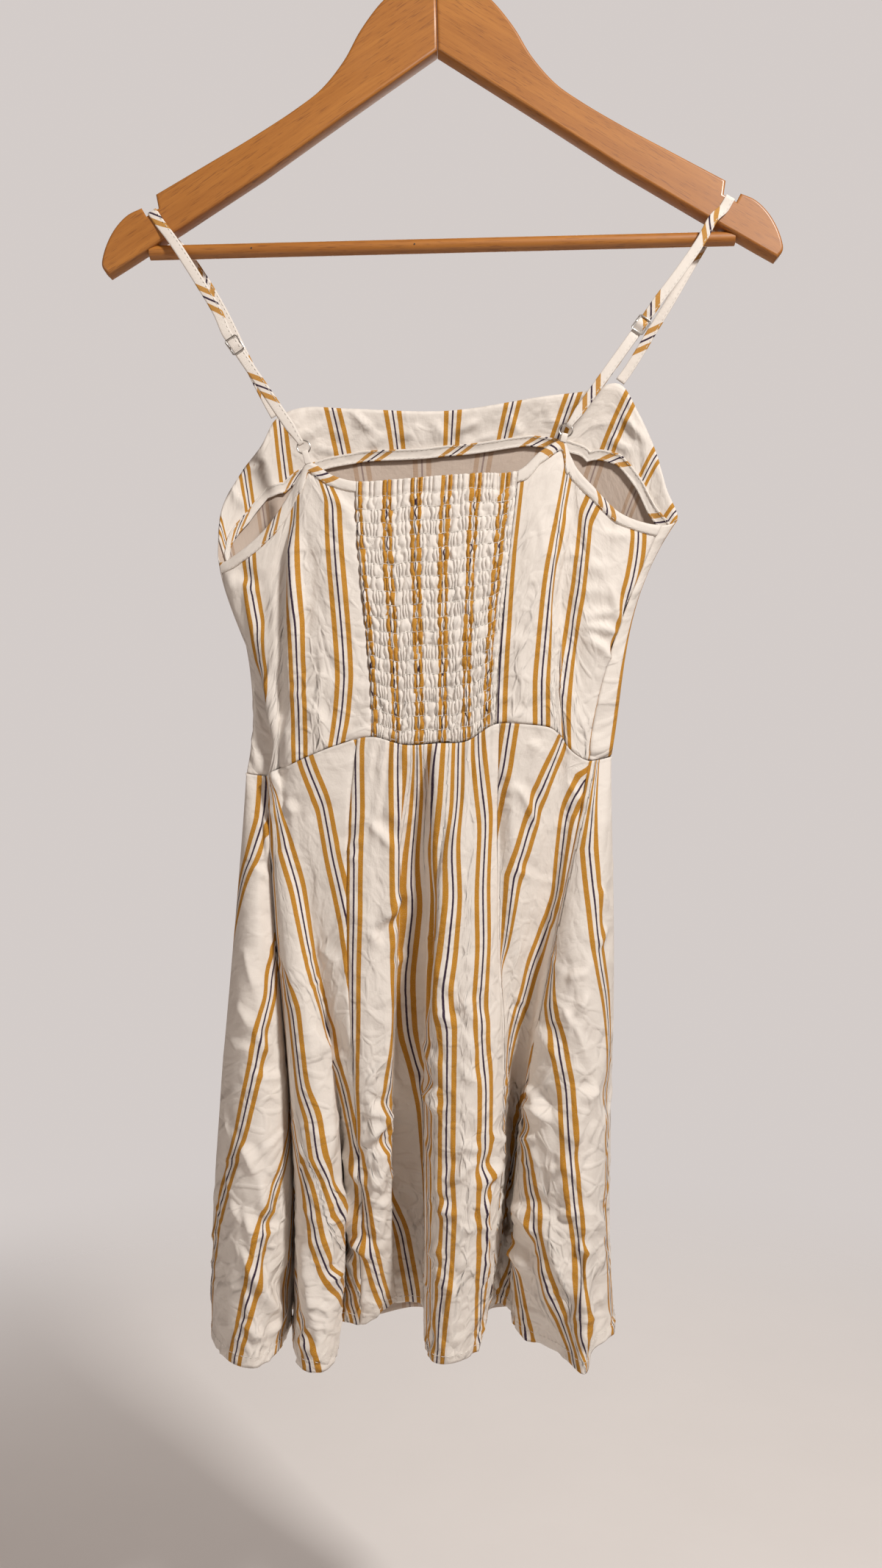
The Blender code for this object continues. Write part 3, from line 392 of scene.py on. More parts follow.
# Fold lines of the skirt, round the same way, one table for each panel.
# A panel starts at its seam, its first row; the share says how far along the
# panel's waist edge a fold line starts.
# name, share of waist edge, hip x y, knee x y, hem x y z
BACK_LEFT_GORE = (
    ("side_left", 0.0, -102, -4, -93, 8, -96, 33, -975),
    ("lobe_b_left", 0.12, -98, -12, -90, -8, -90, -1, -976),
    ("lobe_b_front", 0.25, -94, -17, -82, -24, -80, -29, -977),
    ("lobe_b_right", 0.4, -87, -18, -71, -27, -68, -29, -977),
    ("lobe_b_edge", 0.52, -82, -14, -62, -15, -62, -4, -975),
    ("valley_bc", 0.62, -78, -10, -61, 2, -65, 24, -972),
    ("lobe_c_left", 0.8, -69, -14, -57, -9, -57, 14, -965),
)
CENTRE_BACK = (
    ("seam_left", 0.0, -55, -18, -50, -17, -48, 9, -965),
    ("lobe_c_front", 0.18, -40, -21, -39, -22, -37, 11, -960),
    ("lobe_c_edge", 0.32, -23, -17, -27, -13, -27, 22, -956),
    ("valley_cd_left", 0.39, -19, -5, -26, 12, -25, 46, -966),
    ("valley_cd_right", 0.49, -6, -3, -8, 15, -9, 50, -968),
    ("lobe_d_left", 0.56, -2, -14, -4, -10, -4, -4, -975),
    ("lobe_d_front_l", 0.65, 6, -22, 4, -28, 3, -21, -976),
    ("lobe_d_front_r", 0.78, 20, -24, 19, -32, 14, -20, -976),
    ("lobe_d_right", 0.91, 34, -21, 37, -25, 28, -6, -975),
)
BACK_RIGHT_GORE = (
    ("seam_right", 0.0, 43, -14, 46, -8, 34, 16, -971),
    ("valley_de_left", 0.27, 53, -11, 50, 8, 38, 42, -968),
    ("valley_de_mid", 0.562, 67, -3, 55, 19, 46, 50, -968),
    ("valley_de_right", 0.78, 75, 1, 59, 14, 54, 38, -968),
)
FRONT_RIGHT_GORE = (
    ("side_right", 0.0, 80, -10, 58, -2, 55, 16, -969),
    ("lobe_e_left", 0.035, 86, -18, 64, -16, 62, 7, -973),
    ("lobe_e_mid", 0.075, 94, -21, 75, -25, 74, 1, -975),
    ("lobe_e_right", 0.115, 103, -20, 89, -28, 85, -14, -976),
    ("lobe_e_edge", 0.15, 110, -13, 102, -22, 95, -32, -978),
    ("lobe_f_left", 0.19, 116, -3, 111, -8, 104, -5, -975),
    ("lobe_f", 0.25, 119, 7, 116, 7, 116, 9, -974),
    ("outline_right", 0.36, 119, 17, 119, 24, 123, 33, -974),
    ("front_right_1", 0.58, 111, 26, 110, 38, 116, 54, -975),
)
CENTRE_FRONT = (
    ("front_seam_right", 0.0, 74, 31, 77, 43, 84, 57, -976),
    ("front_a", 0.22, 46, 32, 46, 49, 52, 66, -977),
    ("front_b", 0.42, 21, 31, 20, 42, 21, 52, -977),
    ("front_c", 0.61, -5, 32, -10, 48, -12, 65, -977),
    ("front_d", 0.8, -31, 31, -39, 41, -46, 50, -977),
)
FRONT_LEFT_GORE = (
    ("front_seam_left", 0.0, -61, 30, -72, 44, -82, 60, -976),
    ("front_left_1", 0.27, -94, 26, -107, 39, -115, 55, -976),
    ("front_left_2", 0.52, -117, 20, -130, 31, -136, 50, -975),
    ("front_left_3", 0.7, -127, 13, -140, 23, -146, 38, -975),
    ("outline_left", 0.81, -130, 4, -141, 6, -147, 18, -975),
    ("lobe_a_left", 0.85, -125, -6, -133, -9, -135, -10, -976),
    ("lobe_a_mid", 0.89, -118, -12, -121, -20, -124, -22, -977),
    ("lobe_a_right", 0.93, -112, -13, -108, -22, -112, -26, -977),
    ("lobe_a_edge", 0.965, -107, -9, -99, -13, -103, -13, -976),
    ("valley_ab", 0.985, -104, -7, -95, -3, -98, 8, -975),
)
# Where the two front seams of the skirt meet the bodice's waist, in lines
FRONT_SEAM_RIGHT = 24.3
FRONT_SEAM_LEFT = 28.3

# One arm of the hanger, x outwards and z down from the hook: its shoulder and
# its end past the strap notch are smooth curves, the rest straight runs.
ARM_SHOULDER = ((0.0, -87.0), (14, -87.5), (26, -92), (36, -100), (50, -118),
                (61, -137), (76, -155), (92, -167), (121, -185), (152, -202.5), (185, -221))
NOTCH_FLOOR = ((183.5, -230.0), (191.5, -235.0))
ARM_END = ((194.5, -229.5), (204, -234), (213, -243.5), (219.5, -257), (221, -267), (217, -272))
ARM_UNDERSIDE = ((206, -265.5), (169, -243), (116, -210), (60, -172), (0.0, -132))

# Routes of the straps: x y z from the front's peak up to the hanger's notch,
# and from the notch down to the slider; the ring's and the slider's middles.
STRAPS = {
    "left": {
        "far": ((-104.6, 15, -363.4), (-109, 14.6, -355.5), (-115, 13.6, -344), (-126, 11, -322),
                (-141, 10, -292), (-163, 8.8, -258)),
        "near": ((-168, -8.6, -256.5), (-151, -9.6, -283), (-138.5, -10, -304)),
        "slider": (-127.5, -10.2, -325),
        "ring": (-83, -10.5, -391),
        "peak": (-80.3, -401),
        "notch_side": -1,
    },
    "right": {
        "far": ((124.6, 15, -340.4), (130, 14.6, -333), (137, 13.8, -322), (146, 12.6, -307),
                (157, 10.2, -289), (172, 9, -263), (184, 8, -243)),
        "near": ((182, -8.4, -242), (173, -9, -258), (158.5, -9.8, -279), (145, -10.1, -297)),
        "slider": (134.5, -10.3, -312),
        "ring": (86, -10.5, -380),
        "peak": (84.2, -387),
        "notch_side": 1,
    },
}


# Creases: x z of both ends, height, width, and the bow of the middle if it has one
FRONT_CREASES = (
    (-88, -400, -60, -432, 0.8, 3.5), (-40, -392, -30, -440, 0.7, 3.5), (2, -400, 14, -446, 0.6, 3.5),
    (52, -396, 44, -450, 0.8, 3.5), (90, -420, 70, -448, 0.9, 3), (-104, -470, -72, -486, 1, 3),
    (-96, -500, -60, -506, 0.9, 3, 1), (-50, -520, -44, -570, 1, 4), (-10, -500, -2, -560, 0.8, 4),
    (40, -480, 60, -500, 0.7, 3), (64, -520, 100, -504, 1.1, 3), (70, -540, 104, -530, 1, 3),
    (-100, -550, -66, -560, 0.9, 3), (30, -560, 62, -572, 0.8, 3), (-30, -460, -12, -478, 0.5, 3),
    (86, -470, 98, -500, 0.9, 3.5),
)
FACING_CREASES = (
    (-55, -358, -37, -375, 1.4, 3), (-88, -377, -72, -366, 1.4, 3), (-80, -382, -62, -386, 1.2, 3),
    (1, -364, 8, -377, 1, 3), (15, -372, 31, -364, 1.4, 3), (-21, -377, -9, -366, 1, 3),
    (25, -382, 44, -372, 1, 3), (49, -361, 60, -374, 1, 3), (-43, -382, -29, -370, 1, 3),
    (76, -361, 84, -369, 0.8, 3), (-97, -374, -86, -361, 1.4, 3), (-70, -381, -58, -369, 1, 3),
    (-126, -400, -111, -393, 1.4, 3), (-136, -410, -126, -425, 1.4, 3), (127, -361, 142, -381, 1.4, 3),
    (118, -376, 132, -386, 1.2, 3), (137, -405, 144, -429, 1.4, 3),
)
BACK_CREASES = (
    (-85, -545, -66, -537, 0.8, 3), (-92, -552, -74, -549, 0.7, 3), (-78, -558, -69, -572, 0.8, 3),
    (-50, -571, -36, -561, 1, 3), (-55, -578, -39, -572, 0.8, 3), (-46, -559, -36, -554, 0.6, 3),
    (-55, -438, -45, -448, 0.6, 3), (-53, -465, -42, -469, 0.5, 3), (98, -501, 118, -496, 1.2, 3),
    (98, -507, 120, -510, 1.3, 3, 1), (98, -513, 112, -522, 1, 3), (101, -470, 112, -465, 0.7, 3),
    (96, -485, 112, -482, 0.6, 3), (115, -479, 122, -508, 1.2, 3.5), (47, -566, 62, -563, 0.9, 3),
    (43, -554, 52, -552, 0.6, 3), (80, -498, 87, -577, 1.6, 4.5), (88, -433, 82, -466, 1.2, 4.5),
    (-91, -438, -89, -524, 1.5, 4, 1), (-69, -419, -50, -438, 0.7, 3.5), (-121, -479, -115, -517, 1, 3.5),
    (-127, -475, -113, -485, 0.8, 3), (-120, -533, -110, -559, 1.2, 3.5), (-134, -465, -129, -484, 1.2, 3.5),
    (-111, -531, -101, -582, 1.6, 4, 1), (105, -517, 120, -531, 1.2, 3.5), (112, -448, 131, -445, 1, 3),
    (-41, -507, -50, -513, 0.5, 3), (52, -521, 64, -513, 0.5, 3.5), (-62, -465, -55, -493, 0.4, 4),
    (68, -433, 72, -465, 0.5, 4.5),
)
SKIRT_CREASES = (
    (-3, -584, -2, -662, -1.7, 3), (-2, -655, -3, -746, -1.8, 3), (9, -628, 3, -672, -1.5, 3.5),
    (3, -665, 2, -720, -1.6, 3.5), (2, -712, -4, -762, -1.6, 3.5), (43, -602, 44, -672, -1.3, 3.5),
    (44, -664, 48, -752, -1.4, 3.5), (-18, -672, -18, -594, -1.4, 3), (-20, -734, -18, -664, -1.6, 3),
    (-22, -795, -20, -726, -1.7, 3.5), (-11, -586, -11, -700, -1.5, 7), (-11, -690, -13, -800, -1.7, 7),
    (-120, -904, -95, -956, 2.2, 4), (-120, -876, -111, -916, 1.6, 4, 2), (-121, -837, -111, -858, 1.5, 3.5),
    (-109, -858, -106, -886, 1.2, 3.5), (-129, -778, -114, -776, 0.8, 3), (-130, -876, -121, -886, 0.8, 3),
    (-119, -926, -116, -951, 1, 3.5, 1), (-116, -792, -97, -797, 0.8, 3, -1),
    (-112, -895, -95, -893, 0.9, 3), (-104, -961, -94, -949, 1.3, 3), (-114, -764, -104, -783, 0.8, 3),
    (-79, -919, -76, -947, 1.3, 4, 1), (-82, -900, -79, -923, 1, 3.5), (-74, -942, -69, -970, 0.9, 3),
    (-86, -961, -69, -968, 0.8, 3, 1), (-76, -764, -62, -792, 1.4, 4.5), (-69, -773, -66, -867, 1.4, 4.5, 2),
    (-26, -820, -46, -841, 2.4, 4, -1), (-43, -816, -28, -823, 1.9, 3.5, 2),
    (-61, -862, -53, -904, 2.4, 4.5), (-53, -904, -38, -915, 2, 3.5), (-67, -920, -50, -921, 1.4, 3),
    (-32, -862, -36, -876, 1.2, 3, 1), (-37, -844, -27, -848, 1, 3), (-41, -867, -31, -857, 1, 3),
    (-58, -844, -48, -867, 1.4, 4), (-32, -886, -34, -904, 1, 3), (-35, -882, -27, -876, 1, 3),
    (-6, -811, 6, -802, 1.8, 4, 1), (-2, -806, 4, -816, 1.2, 3), (13, -854, 29, -845, 1.4, 3),
    (10, -859, 22, -851, 1.1, 3), (4, -877, 16, -877, 1.6, 2.8), (17, -834, 31, -839, 0.9, 3),
    (29, -863, 46, -848, 1.6, 3.5, 1), (35, -859, 44, -852, 1, 3), (36, -830, 48, -839, 1, 3),
    (16, -886, 29, -890, 0.8, 3), (6, -900, -4, -911, 1, 3), (14, -914, 24, -904, 1, 3),
    (1, -923, 17, -930, 0.8, 3, 1), (32, -862, 34, -933, 1.5, 4), (17, -783, 27, -797, 1.2, 3.5),
    (21, -764, 24, -787, 1.2, 4, 1), (-6, -773, 1, -787, 1, 3.5), (59, -815, 74, -823, 1.8, 4, 2),
    (62, -802, 69, -820, 1.2, 3.5), (66, -764, 80, -783, 1, 3.5), (79, -882, 93, -879, 1.4, 3),
    (90, -900, 102, -907, 1.5, 3), (52, -881, 68, -899, 2.2, 5, 2), (67, -876, 86, -933, 2.4, 6, 1),
    (86, -911, 85, -935, 1.2, 3.5), (94, -926, 101, -965, 1.5, 4), (50, -910, 63, -925, 2.4, 4.5),
    (94, -807, 107, -802, 1.4, 3.5), (98, -802, 81, -858, 1.2, 5), (99, -802, 113, -834, 1.2, 5),
    (78, -839, 90, -858, 1, 3.5), (55, -839, 69, -832, 1, 3), (90, -759, 99, -787, 1, 3.5),
    (99, -876, 113, -900, 1, 3.5), (73, -853, 85, -848, 0.8, 3), (70, -900, 78, -951, 1.8, 5),
    (83, -858, 87, -881, 1, 3.5), (106, -886, 111, -928, 1.3, 4), (-41, -633, -25, -651, 1.3, 3, 1),
    (-20, -679, -38, -700, 1.5, 3, 1), (-22, -689, -32, -694, 0.8, 3), (-55, -652, -45, -641, 1.2, 3),
    (-55, -654, -46, -657, 0.7, 3), (53, -608, 65, -636, 1.4, 3, 2), (48, -615, 53, -608, 0.8, 3),
    (61, -582, 70, -586, 0.7, 3), (-73, -614, -83, -629, 0.6, 3), (-95, -619, -88, -628, 0.8, 3),
    (-40, -701, -34, -713, 0.9, 3), (10, -752, 24, -745, 0.9, 3), (6, -752, 14, -760, 1, 3),
    (20, -741, 27, -759, 1.2, 3.5), (-23, -727, -13, -717, 0.8, 3), (52, -661, 64, -670, 0.6, 3),
    (85, -732, 99, -727, 1, 3), (90, -755, 99, -741, 1.2, 3), (84, -752, 88, -762, 1, 3),
    (95, -617, 87, -624, 0.8, 3), (87, -607, 97, -619, 0.8, 3), (108, -674, 113, -689, 0.9, 3),
    (112, -699, 106, -713, 0.9, 3), (-121, -713, -114, -741, 0.8, 3.5), (-126, -749, -116, -764, 0.8, 3.5),
    (-116, -661, -107, -670, 0.7, 3), (-109, -628, -106, -656, 1.2, 3), (-104, -600, -97, -614, 1.2, 3.5),
    (-74, -713, -60, -722, 0.5, 3),
)
FRONT_SKIRT_CREASES = (
    (-110, -640, -96, -700, 1, 3.5), (-70, -655, -84, -720, 1.1, 4, 1), (-32, -640, -20, -676, 0.8, 3),
    (8, -632, 0, -700, 1, 3.5), (44, -650, 58, -688, 0.9, 3), (84, -640, 76, -712, 1.1, 4),
    (-98, -742, -70, -765, 1, 3), (-50, -730, -58, -790, 1.3, 4, 1), (-18, -760, 10, -742, 0.9, 3),
    (30, -745, 46, -801, 1.2, 3.5), (70, -770, 98, -748, 1, 3), (-120, -820, -92, -850, 1.4, 3.5),
    (-86, -806, -70, -862, 1.6, 4), (-48, -845, -16, -826, 1.3, 3), (-30, -870, -44, -920, 1.6, 4, 1),
    (0, -820, 16, -868, 1.4, 3.5), (28, -850, 58, -832, 1.2, 3), (60, -874, 50, -930, 1.7, 4, -1),
    (84, -826, 104, -870, 1.4, 3.5), (-128, -890, -104, -936, 2, 4, 1), (-84, -902, -62, -890, 1.2, 3),
    (-74, -930, -56, -966, 1.6, 3.5), (-20, -930, 8, -912, 1.4, 3), (12, -900, 30, -950, 1.8, 4),
    (34, -958, 62, -944, 1.2, 3), (76, -900, 98, -926, 1.5, 3.5), (88, -950, 108, -938, 1.2, 3),
    (-104, -960, -84, -948, 1.2, 3), (-40, -690, -62, -704, 0.7, 3), (18, -712, 38, -722, 0.6, 3),
    (92, -690, 108, -720, 0.8, 3), (-10, -880, -30, -890, 1, 3),
)

# Stripes of the back panels and the skirt: number, then (v, place) down the cloth
BACK_STRIPES = {
    "left": (
        (0, ((0.0, 1.26), (0.35, 1.24), (0.55, 0.6), (0.78, -0.24), (1.0, -0.7))),
        (1, ((0.0, 3.4), (0.22, 3.74), (0.53, 4.39), (1.0, 4.84))),
        (2, ((0.0, 5.5), (0.1, 6.05), (0.42, 6.13), (0.75, 6.18), (1.0, 6.07))),
    ),
    "right": (
        (0, ((0.0, 11.0), (0.31, 10.98), (0.61, 11.06), (1.0, 11.1))),
        (1, ((0.0, 13.98), (0.29, 13.57), (0.52, 13.0), (0.83, 12.66), (1.0, 12.63))),
        (2, ((0.0, 16.2), (0.13, 15.78), (0.4, 15.82), (0.68, 15.6), (1.0, 15.4))),
        (3, ((0.0, 17.4), (0.27, 17.77), (0.58, 18.47), (1.0, 18.47))),
    ),
}
SKIRT_STRIPES = {
    "skirt_back_left": (
        (0, ((0.85, 0.2), (0.9, 1.3), (0.96, 2.0), (1.0, 2.4))),
        (1, ((0.55, 0.2), (0.63, 1.35), (0.71, 2.2), (0.79, 2.5), (0.84, 3.1), (0.92, 4.3),
             (1.0, 5.6))),
        (2, ((0.25, -0.6), (0.32, 0.25), (0.39, 2.0), (0.53, 2.15), (0.58, 2.7), (0.64, 2.75),
             (0.72, 3.3), (0.84, 4.7), (1.0, 6.6))),
        (3, ((0.0, 0.2), (0.04, 1.0), (0.13, 3.0), (0.2, 4.0), (0.33, 4.15), (0.44, 4.85), (0.6, 6.1),
             (0.7, 7.0))),
        (4, ((0.0, 5.8), (0.09, 6.25), (0.19, 6.5), (0.26, 6.8), (0.34, 7.2), (0.5, 8.0))),
    ),
    "skirt_back_centre": (
        (0, ((0.0, 6.95), (0.12, 7.25), (0.3, 7.35), (0.47, 7.2), (0.58, 6.95), (0.69, 6.95),
             (0.77, 7.25), (0.87, 7.65), (0.96, 8.3), (1.0, 8.6))),
        (1, ((0.0, 8.6), (0.13, 8.85), (0.27, 9.05), (0.48, 9.2), (0.65, 8.8), (0.71, 9.05),
             (0.85, 10.3), (1.0, 10.7))),
        (2, ((0.0, 9.35), (0.08, 10.1), (0.2, 10.2), (0.27, 10.5), (0.4, 10.35), (0.5, 10.5),
             (0.62, 11.15), (0.8, 11.35), (1.0, 11.5))),
        (3, ((0.0, 11.6), (0.11, 12.05), (0.18, 11.85), (0.25, 12.2), (0.41, 12.15), (0.6, 12.3),
             (1.0, 12.2))),
        (4, ((0.0, 13.15), (0.08, 13.35), (0.16, 13.25), (0.26, 13.5), (0.36, 13.35), (0.41, 13.15),
             (0.45, 13.4), (0.71, 13.35), (0.75, 13.45), (0.85, 13.35), (1.0, 12.85))),
        (5, ((0.0, 14.4), (0.15, 15.05), (0.25, 14.85), (0.34, 14.85), (0.42, 14.65), (0.56, 14.8),
             (0.76, 14.73), (0.89, 14.86), (1.0, 15.1))),
    ),
    "skirt_back_right": (
        (0, ((0.0, 16.2), (0.08, 16.13), (0.2, 15.5))),
        (1, ((0.0, 17.9), (0.1, 17.4), (0.21, 17.05), (0.32, 16.25), (0.5, 15.0))),
        (2, ((0.0, 20.7), (0.05, 19.6), (0.1, 19.1), (0.17, 19.3), (0.24, 19.55), (0.29, 19.25),
             (0.37, 18.35), (0.43, 17.95), (0.5, 17.3), (0.7, 15.6))),
        (3, ((0.4, 21.0), (0.56, 19.95), (0.64, 18.75), (0.74, 18.5), (0.79, 17.8), (1.0, 15.8))),
        (4, ((0.75, 20.6), (0.95, 18.55), (1.0, 18.0))),
    ),
    "skirt_front_right": (
        (-1, ((0.8, 19.6), (0.9, 20.6), (1.0, 21.1))),
        (0, ((0.5, 19.4), (0.62, 20.2), (0.69, 21.05), (0.8, 21.85), (0.92, 22.65), (1.0, 23.6))),
        (1, ((0.2, 18.6), (0.4, 20.6), (0.47, 21.75), (0.54, 22.45), (0.66, 22.95), (0.81, 23.6),
             (1.0, 23.9))),
        (2, ((0.0, 19.9), (0.075, 20.8), (0.175, 22.1), (0.26, 23.05), (0.31, 23.45), (0.4, 24.55),
             (0.49, 25.3), (0.6, 25.35), (0.72, 25.95), (0.86, 26.3), (1.0, 26.4))),
    ),
    "skirt_front_centre": (
        (0, ((0.0, 31.8), (1.0, 32.13))),
    ),
    "skirt_front_left": (
        (0, ((0.0, 43.0), (0.06, 42.35), (0.18, 38.95), (0.3, 37.6), (0.6, 36.6), (1.0, 35.6))),
        (1, ((0.2, 45.6), (0.3, 44.05), (0.34, 42.6), (0.43, 41.15), (0.54, 40.3), (0.62, 39.8),
             (0.74, 38.9), (0.8, 38.5), (1.0, 37.9))),
        (2, ((0.5, 45.6), (0.62, 43.65), (0.69, 42.0), (0.76, 41.1), (0.85, 40.7), (0.93, 40.25),
             (1.0, 39.8))),
    ),
}

# A skirt panel's seed, width, length and area of its cut in metres, what it is sewn to
SKIRT_PIECES = {
    "skirt_back_left": (1, 0.158, 0.39, 0.0352, "back_panel_left_cloth"),
    "skirt_back_centre": (2, 0.202, 0.406, 0.0592, "smocked_panel_cloth"),
    "skirt_back_right": (3, 0.076, 0.405, 0.0225, "back_panel_right_cloth"),
    "skirt_front_right": (5, 0.195, 0.397, 0.055, "front_bodice_cloth"),
    "skirt_front_centre": (7, 0.18, 0.398, 0.058, "front_bodice_cloth"),
    "skirt_front_left": (8, 0.215, 0.392, 0.0573, "front_bodice_cloth"),
}
# Pleats at the waist of the centre back: line, width, height, reach down
WAIST_PLEATS = (
    (7.55, 2.6, 1.7, 30), (8, 2.4, 2.3, 42), (8.45, 2.2, 2.8, 36), (8.9, 2.6, 3.4, 70),
    (9.35, 2.2, 2.8, 48), (9.8, 2, 2.5, 30), (10.25, 2.4, 3.2, 60), (10.7, 2.2, 2.7, 38),
    (11.15, 2.6, 3.4, 74), (11.6, 2, 2.5, 34), (12.05, 2.4, 2.8, 52), (12.5, 2.2, 2.7, 40),
    (12.95, 2.4, 3.2, 64), (13.4, 2.2, 2.3, 30), (13.9, 2.6, 2.8, 56), (14.4, 2.2, 2.3, 34),
    (14.95, 2.4, 1.9, 44), (15.5, 2.2, 1.5, 26),
)
PLEAT_START = (-4.0, 6.0)


# ------------------------------------------------------------- smooth curves

def through(p0, p1, p2, p3, t):
    """Points at t between p1 and p2 on centripetal Catmull-Rom curves."""
    def knot(a, b):
        return np.maximum(np.linalg.norm(b - a, axis=-1, keepdims=True), TINY) ** 0.5

    k1 = knot(p0, p1)
    k2 = k1 + knot(p1, p2)
    k3 = k2 + knot(p2, p3)
    u = k1 + t * (k2 - k1)
    a1 = p0 + (p1 - p0) * (u / k1)
    a2 = p1 + (p2 - p1) * ((u - k1) / (k2 - k1))
    a3 = p2 + (p3 - p2) * ((u - k2) / (k3 - k2))
    b1 = a1 + (a2 - a1) * (u / k2)
    b2 = a2 + (a3 - a2) * ((u - k1) / (k3 - k1))
    return b1 + (b2 - b1) * ((u - k1) / (k2 - k1))


def on_loop(loop, s):
    """Points at places s, counted in points, on the closed curve through loop."""
    s = np.asarray(s, float)
    i = np.floor(s).astype(int)
    count = len(loop)
    picked = [loop[(i + k) % count] for k in (-1, 0, 1, 2)]
    return through(*picked, (s - i)[..., None])


def open_curve(points, step):
    """The open curve through points, with a point about every step."""
    points = [np.array(p, float) for p in points]
    ends = [2 * points[0] - points[1]] + points + [2 * points[-1] - points[-2]]
    made = []
    for i in range(1, len(ends) - 2):
        pieces = max(1, round(np.linalg.norm(ends[i + 1] - ends[i]) / step))
        for k in range(pieces):
            made.append(through(*ends[i - 1:i + 3], k / pieces))
    made.append(points[-1])
    return made


def level_weights(levels, v):
    """Lagrange's weights at v of values given at the levels."""
    weights = []
    for i, own in enumerate(levels):
        weight = np.ones_like(v)
        for k, level in enumerate(levels):
            if k != i:
                weight = weight * (v - level) / (own - level)
        weights.append(weight)
    return weights


def smooth(low, high, x):
    """0 below low, 1 above high, and a soft step between."""
    t = np.clip((x - low) / (high - low), 0.0, 1.0)
    return t * t * (3 - 2 * t)


def unit(vector):
    return vector / np.linalg.norm(vector)


def lengths(points):
    """How far each point lies along the line through the points."""
    steps = np.linalg.norm(np.diff(points, axis=0), axis=1)
    return np.concatenate([[0.0], np.cumsum(steps)])


# ------------------------------------------------------------ cloth surfaces

def bodice_loops():
    """The closed loops of points that the bodice runs through, from its top edge down."""
    rows = [row[1:] for row in BODICE_LINES]
    tops = np.array([(r[0], r[1], r[2]) for r in rows], float)
    waists = np.array([(r[7], r[8], r[9]) for r in rows], float)
    chests = np.array([(r[3], r[4], 0.0) for r in rows], float)
    ribs = np.array([(r[5], r[6], 0.0) for r in rows], float)
    drop = waists[:, 2] - tops[:, 2]
    chests[:, 2] = tops[:, 2] + drop * BODICE_LEVELS[1]
    ribs[:, 2] = tops[:, 2] + drop * BODICE_LEVELS[2]
    return tops, chests, ribs, waists


BODICE_LOOPS = bodice_loops()
LINE = {row[0]: index for index, row in enumerate(BODICE_LINES)}
LINE_COUNT = len(BODICE_LINES)
SEAM_LEFT = LINE["left_3"] + 0.62
SEAM_RIGHT = LINE["smock_right"] + 0.15

# panel, its fold lines, its waist edge from line to line
SKIRT_PANELS = (
    ("skirt_back_left", BACK_LEFT_GORE, LINE["side_left"], SEAM_LEFT),
    ("skirt_back_centre", CENTRE_BACK, SEAM_LEFT, SEAM_RIGHT),
    ("skirt_back_right", BACK_RIGHT_GORE, SEAM_RIGHT, LINE["side_right"]),
    ("skirt_front_right", FRONT_RIGHT_GORE, LINE["side_right"], FRONT_SEAM_RIGHT),
    ("skirt_front_centre", CENTRE_FRONT, FRONT_SEAM_RIGHT, FRONT_SEAM_LEFT),
    ("skirt_front_left", FRONT_LEFT_GORE, FRONT_SEAM_LEFT, LINE_COUNT),
)


def bodice(s, v):
    """Points of the bodice at places s round it and v down it."""
    total = 0.0
    for weight, loop in zip(level_weights(BODICE_LEVELS, v), BODICE_LOOPS):
        total = total + on_loop(loop, s) * weight[..., None]
    return total


def skirt_loops():
    """The waist lines that the fold lines start from, and the loops below the waist."""
    lines, hips, knees, hems = [], [], [], []
    for _, folds, start, end in SKIRT_PANELS:
        for _, share, hx, hy, kx, ky, ex, ey, ez in folds:
            line = start + (end - start) * share
            top = on_loop(BODICE_LOOPS[3], line)[2]
            lines.append(line)
            hips.append((hx, hy, top + (ez - top) * SKIRT_LEVELS[1]))
            knees.append((kx, ky, top + (ez - top) * SKIRT_LEVELS[2]))
            hems.append((ex, ey, ez))
    lines.append(LINE_COUNT)
    return np.array(lines, float), [np.array(loop, float) for loop in (hips, knees, hems)]


WAIST_LINES, SKIRT_LOOPS = skirt_loops()


def skirt(s, v):
    """Points of the skirt at places s round it and v down it."""
    around = np.mod(s, len(SKIRT_LOOPS[0]))
    line = np.interp(around, np.arange(len(WAIST_LINES)), WAIST_LINES)
    loops = [on_loop(BODICE_LOOPS[3], line)] + [on_loop(loop, s) for loop in SKIRT_LOOPS]
    total = 0.0
    for weight, at in zip(level_weights(SKIRT_LEVELS, v), loops):
        total = total + at * weight[..., None]
    return total


def even_columns(surface, start, end, cell):
    """Places from start to end, no further apart on the surface than a cell."""
    probe = np.arange(start, end + PROBE_STEP / 25, PROBE_STEP)
    probe[-1] = end
    rows = [surface(probe, np.full_like(probe, level)) for level in PROBE_LEVELS]
    widths = np.maximum(*[np.linalg.norm(np.diff(row, axis=0), axis=1) for row in rows])
    places = [start]
    for a, b, width in zip(probe[:-1], probe[1:], widths):
        pieces = max(1, math.ceil(width / cell))
        places += [a + (b - a) * (k + 1) / pieces for k in range(pieces)]
    return np.array(places)


